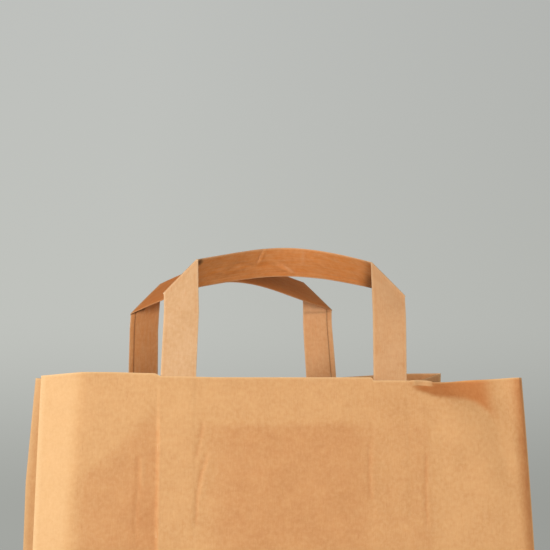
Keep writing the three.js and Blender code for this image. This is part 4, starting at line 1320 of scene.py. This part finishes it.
def studio_floor():
    """A round pale floor that fades into the world's grey at its edge."""
    turn = np.linspace(0, 2 * math.pi, FLOOR_SPOKES, endpoint=False)
    reach = np.linspace(0, FLOOR_RADIUS, FLOOR_RINGS + 1)[1:, None]
    ring = stacked(reach * np.cos(turn), reach * np.sin(turn), 0 * reach * turn).reshape(-1, 3)
    quads = point_numbers(grid_quads(FLOOR_RINGS, FLOOR_SPOKES, True), FLOOR_SPOKES)[:, ::-1].tolist()
    fan = [[len(ring), k, (k + 1) % FLOOR_SPOKES] for k in range(FLOOR_SPOKES)]
    mesh = bpy.data.meshes.new("studio_floor")
    mesh.from_pydata(ring.tolist() + [[0, 0, 0]], [], quads + fan)
    floor = bpy.data.objects.new("studio_floor", mesh)
    bpy.context.scene.collection.objects.link(floor)
    material = bpy.data.materials.new("grey_paper_ground")
    material.use_nodes = True
    tree = material.node_tree
    surface = tree.nodes["Principled BSDF"]
    surface.inputs["Base Color"].default_value = linear(FLOOR_GREY)
    surface.inputs["Roughness"].default_value = FLOOR_ROUGHNESS
    place = add_node(tree, "ShaderNodeTexCoord").outputs["Object"]
    far = add_node(tree, "ShaderNodeVectorMath", {0: place}, operation="LENGTH").outputs["Value"]
    near, away = FLOOR_FADE
    sockets = {0: far, 1: near, 2: away}
    fade = add_node(tree, "ShaderNodeMapRange", sockets, interpolation_type="SMOOTHSTEP").outputs[0]
    fade = add_node(tree, "ShaderNodeMath", {0: fade, 1: shown_rays(tree)}, operation="MULTIPLY").outputs[0]
    grey = add_node(tree, "ShaderNodeEmission", {"Color": linear(GROUND_LOW), "Strength": 1.0}).outputs[0]
    mixed = add_node(tree, "ShaderNodeMixShader", {0: fade, 1: surface.outputs[0], 2: grey}).outputs[0]
    tree.links.new(mixed, tree.nodes["Material Output"].inputs["Surface"])
    mesh.materials.append(material)
    print("floor faces:", len(mesh.polygons))


studio_floor()

# %% [markdown]
# The light is soft and comes from near the camera, about as high as the rim, so what faces up stays dark. A
# large lamp stands a little left of the front. A weak one at the left makes the panel fade to the right,
# another lights its right end, and one lights the rear.

# %% Lamps
LAMP_AIM = np.array([0, -0.02, 0.42])
# azimuth (0 is in front of the bag, -90 at its left), elevation, distance and size in metres, and watts
LAMPS = (
    ("window_key", -12, 9, 1.8, 1.0, 21.2),
    ("left_fill", -75, 8, 0.9, 0.5, 3.8),
    ("right_fill", 30, 8, 0.9, 0.5, 1.1),
    ("rear_fill", 160, 12, 1.8, 1.2, 18),
)
for name, azimuth, elevation, distance, size, watts in LAMPS:
    a, e = math.radians(azimuth), math.radians(elevation)
    way = np.array([math.sin(a) * math.cos(e), -math.cos(a) * math.cos(e), math.sin(e)])
    data = bpy.data.lights.new(name, "AREA")
    data.size = size
    data.energy = watts
    lamp = bpy.data.objects.new(name, data)
    lamp.location = LAMP_AIM + way * distance
    lamp.rotation_euler = (math.pi / 2 - e, 0, a)
    lamp.visible_camera = False
    bpy.context.scene.collection.objects.link(lamp)
    print(name, "at", np.round(lamp.location, 2))

# %% Camera at the photograph's place
CAMERA_PLACE = (-0.1623, -0.7134, 0.4361)
CAMERA_YAW, CAMERA_PITCH = math.radians(-13.2), math.radians(5.9)
FOCAL_PIXELS, PHOTO_PIXELS = 1050, 550
SENSOR_WIDTH, CLIP_START = 36, 0.02  # in millimetres and in metres
camera_data = bpy.data.cameras.new("photo_camera")
camera_data.sensor_width = SENSOR_WIDTH
camera_data.lens = FOCAL_PIXELS / PHOTO_PIXELS * SENSOR_WIDTH
camera_data.clip_start = CLIP_START
camera = bpy.data.objects.new("photo_camera", camera_data)
camera.location = CAMERA_PLACE
camera.rotation_euler = (math.pi / 2 + CAMERA_PITCH, 0, CAMERA_YAW)
bpy.context.scene.collection.objects.link(camera)
bpy.context.scene.camera = camera
bpy.context.scene.view_settings.view_transform = "Standard"
print("lens:", round(camera_data.lens, 1), "mm")

# %% The end
bpy.context.view_layer.update()
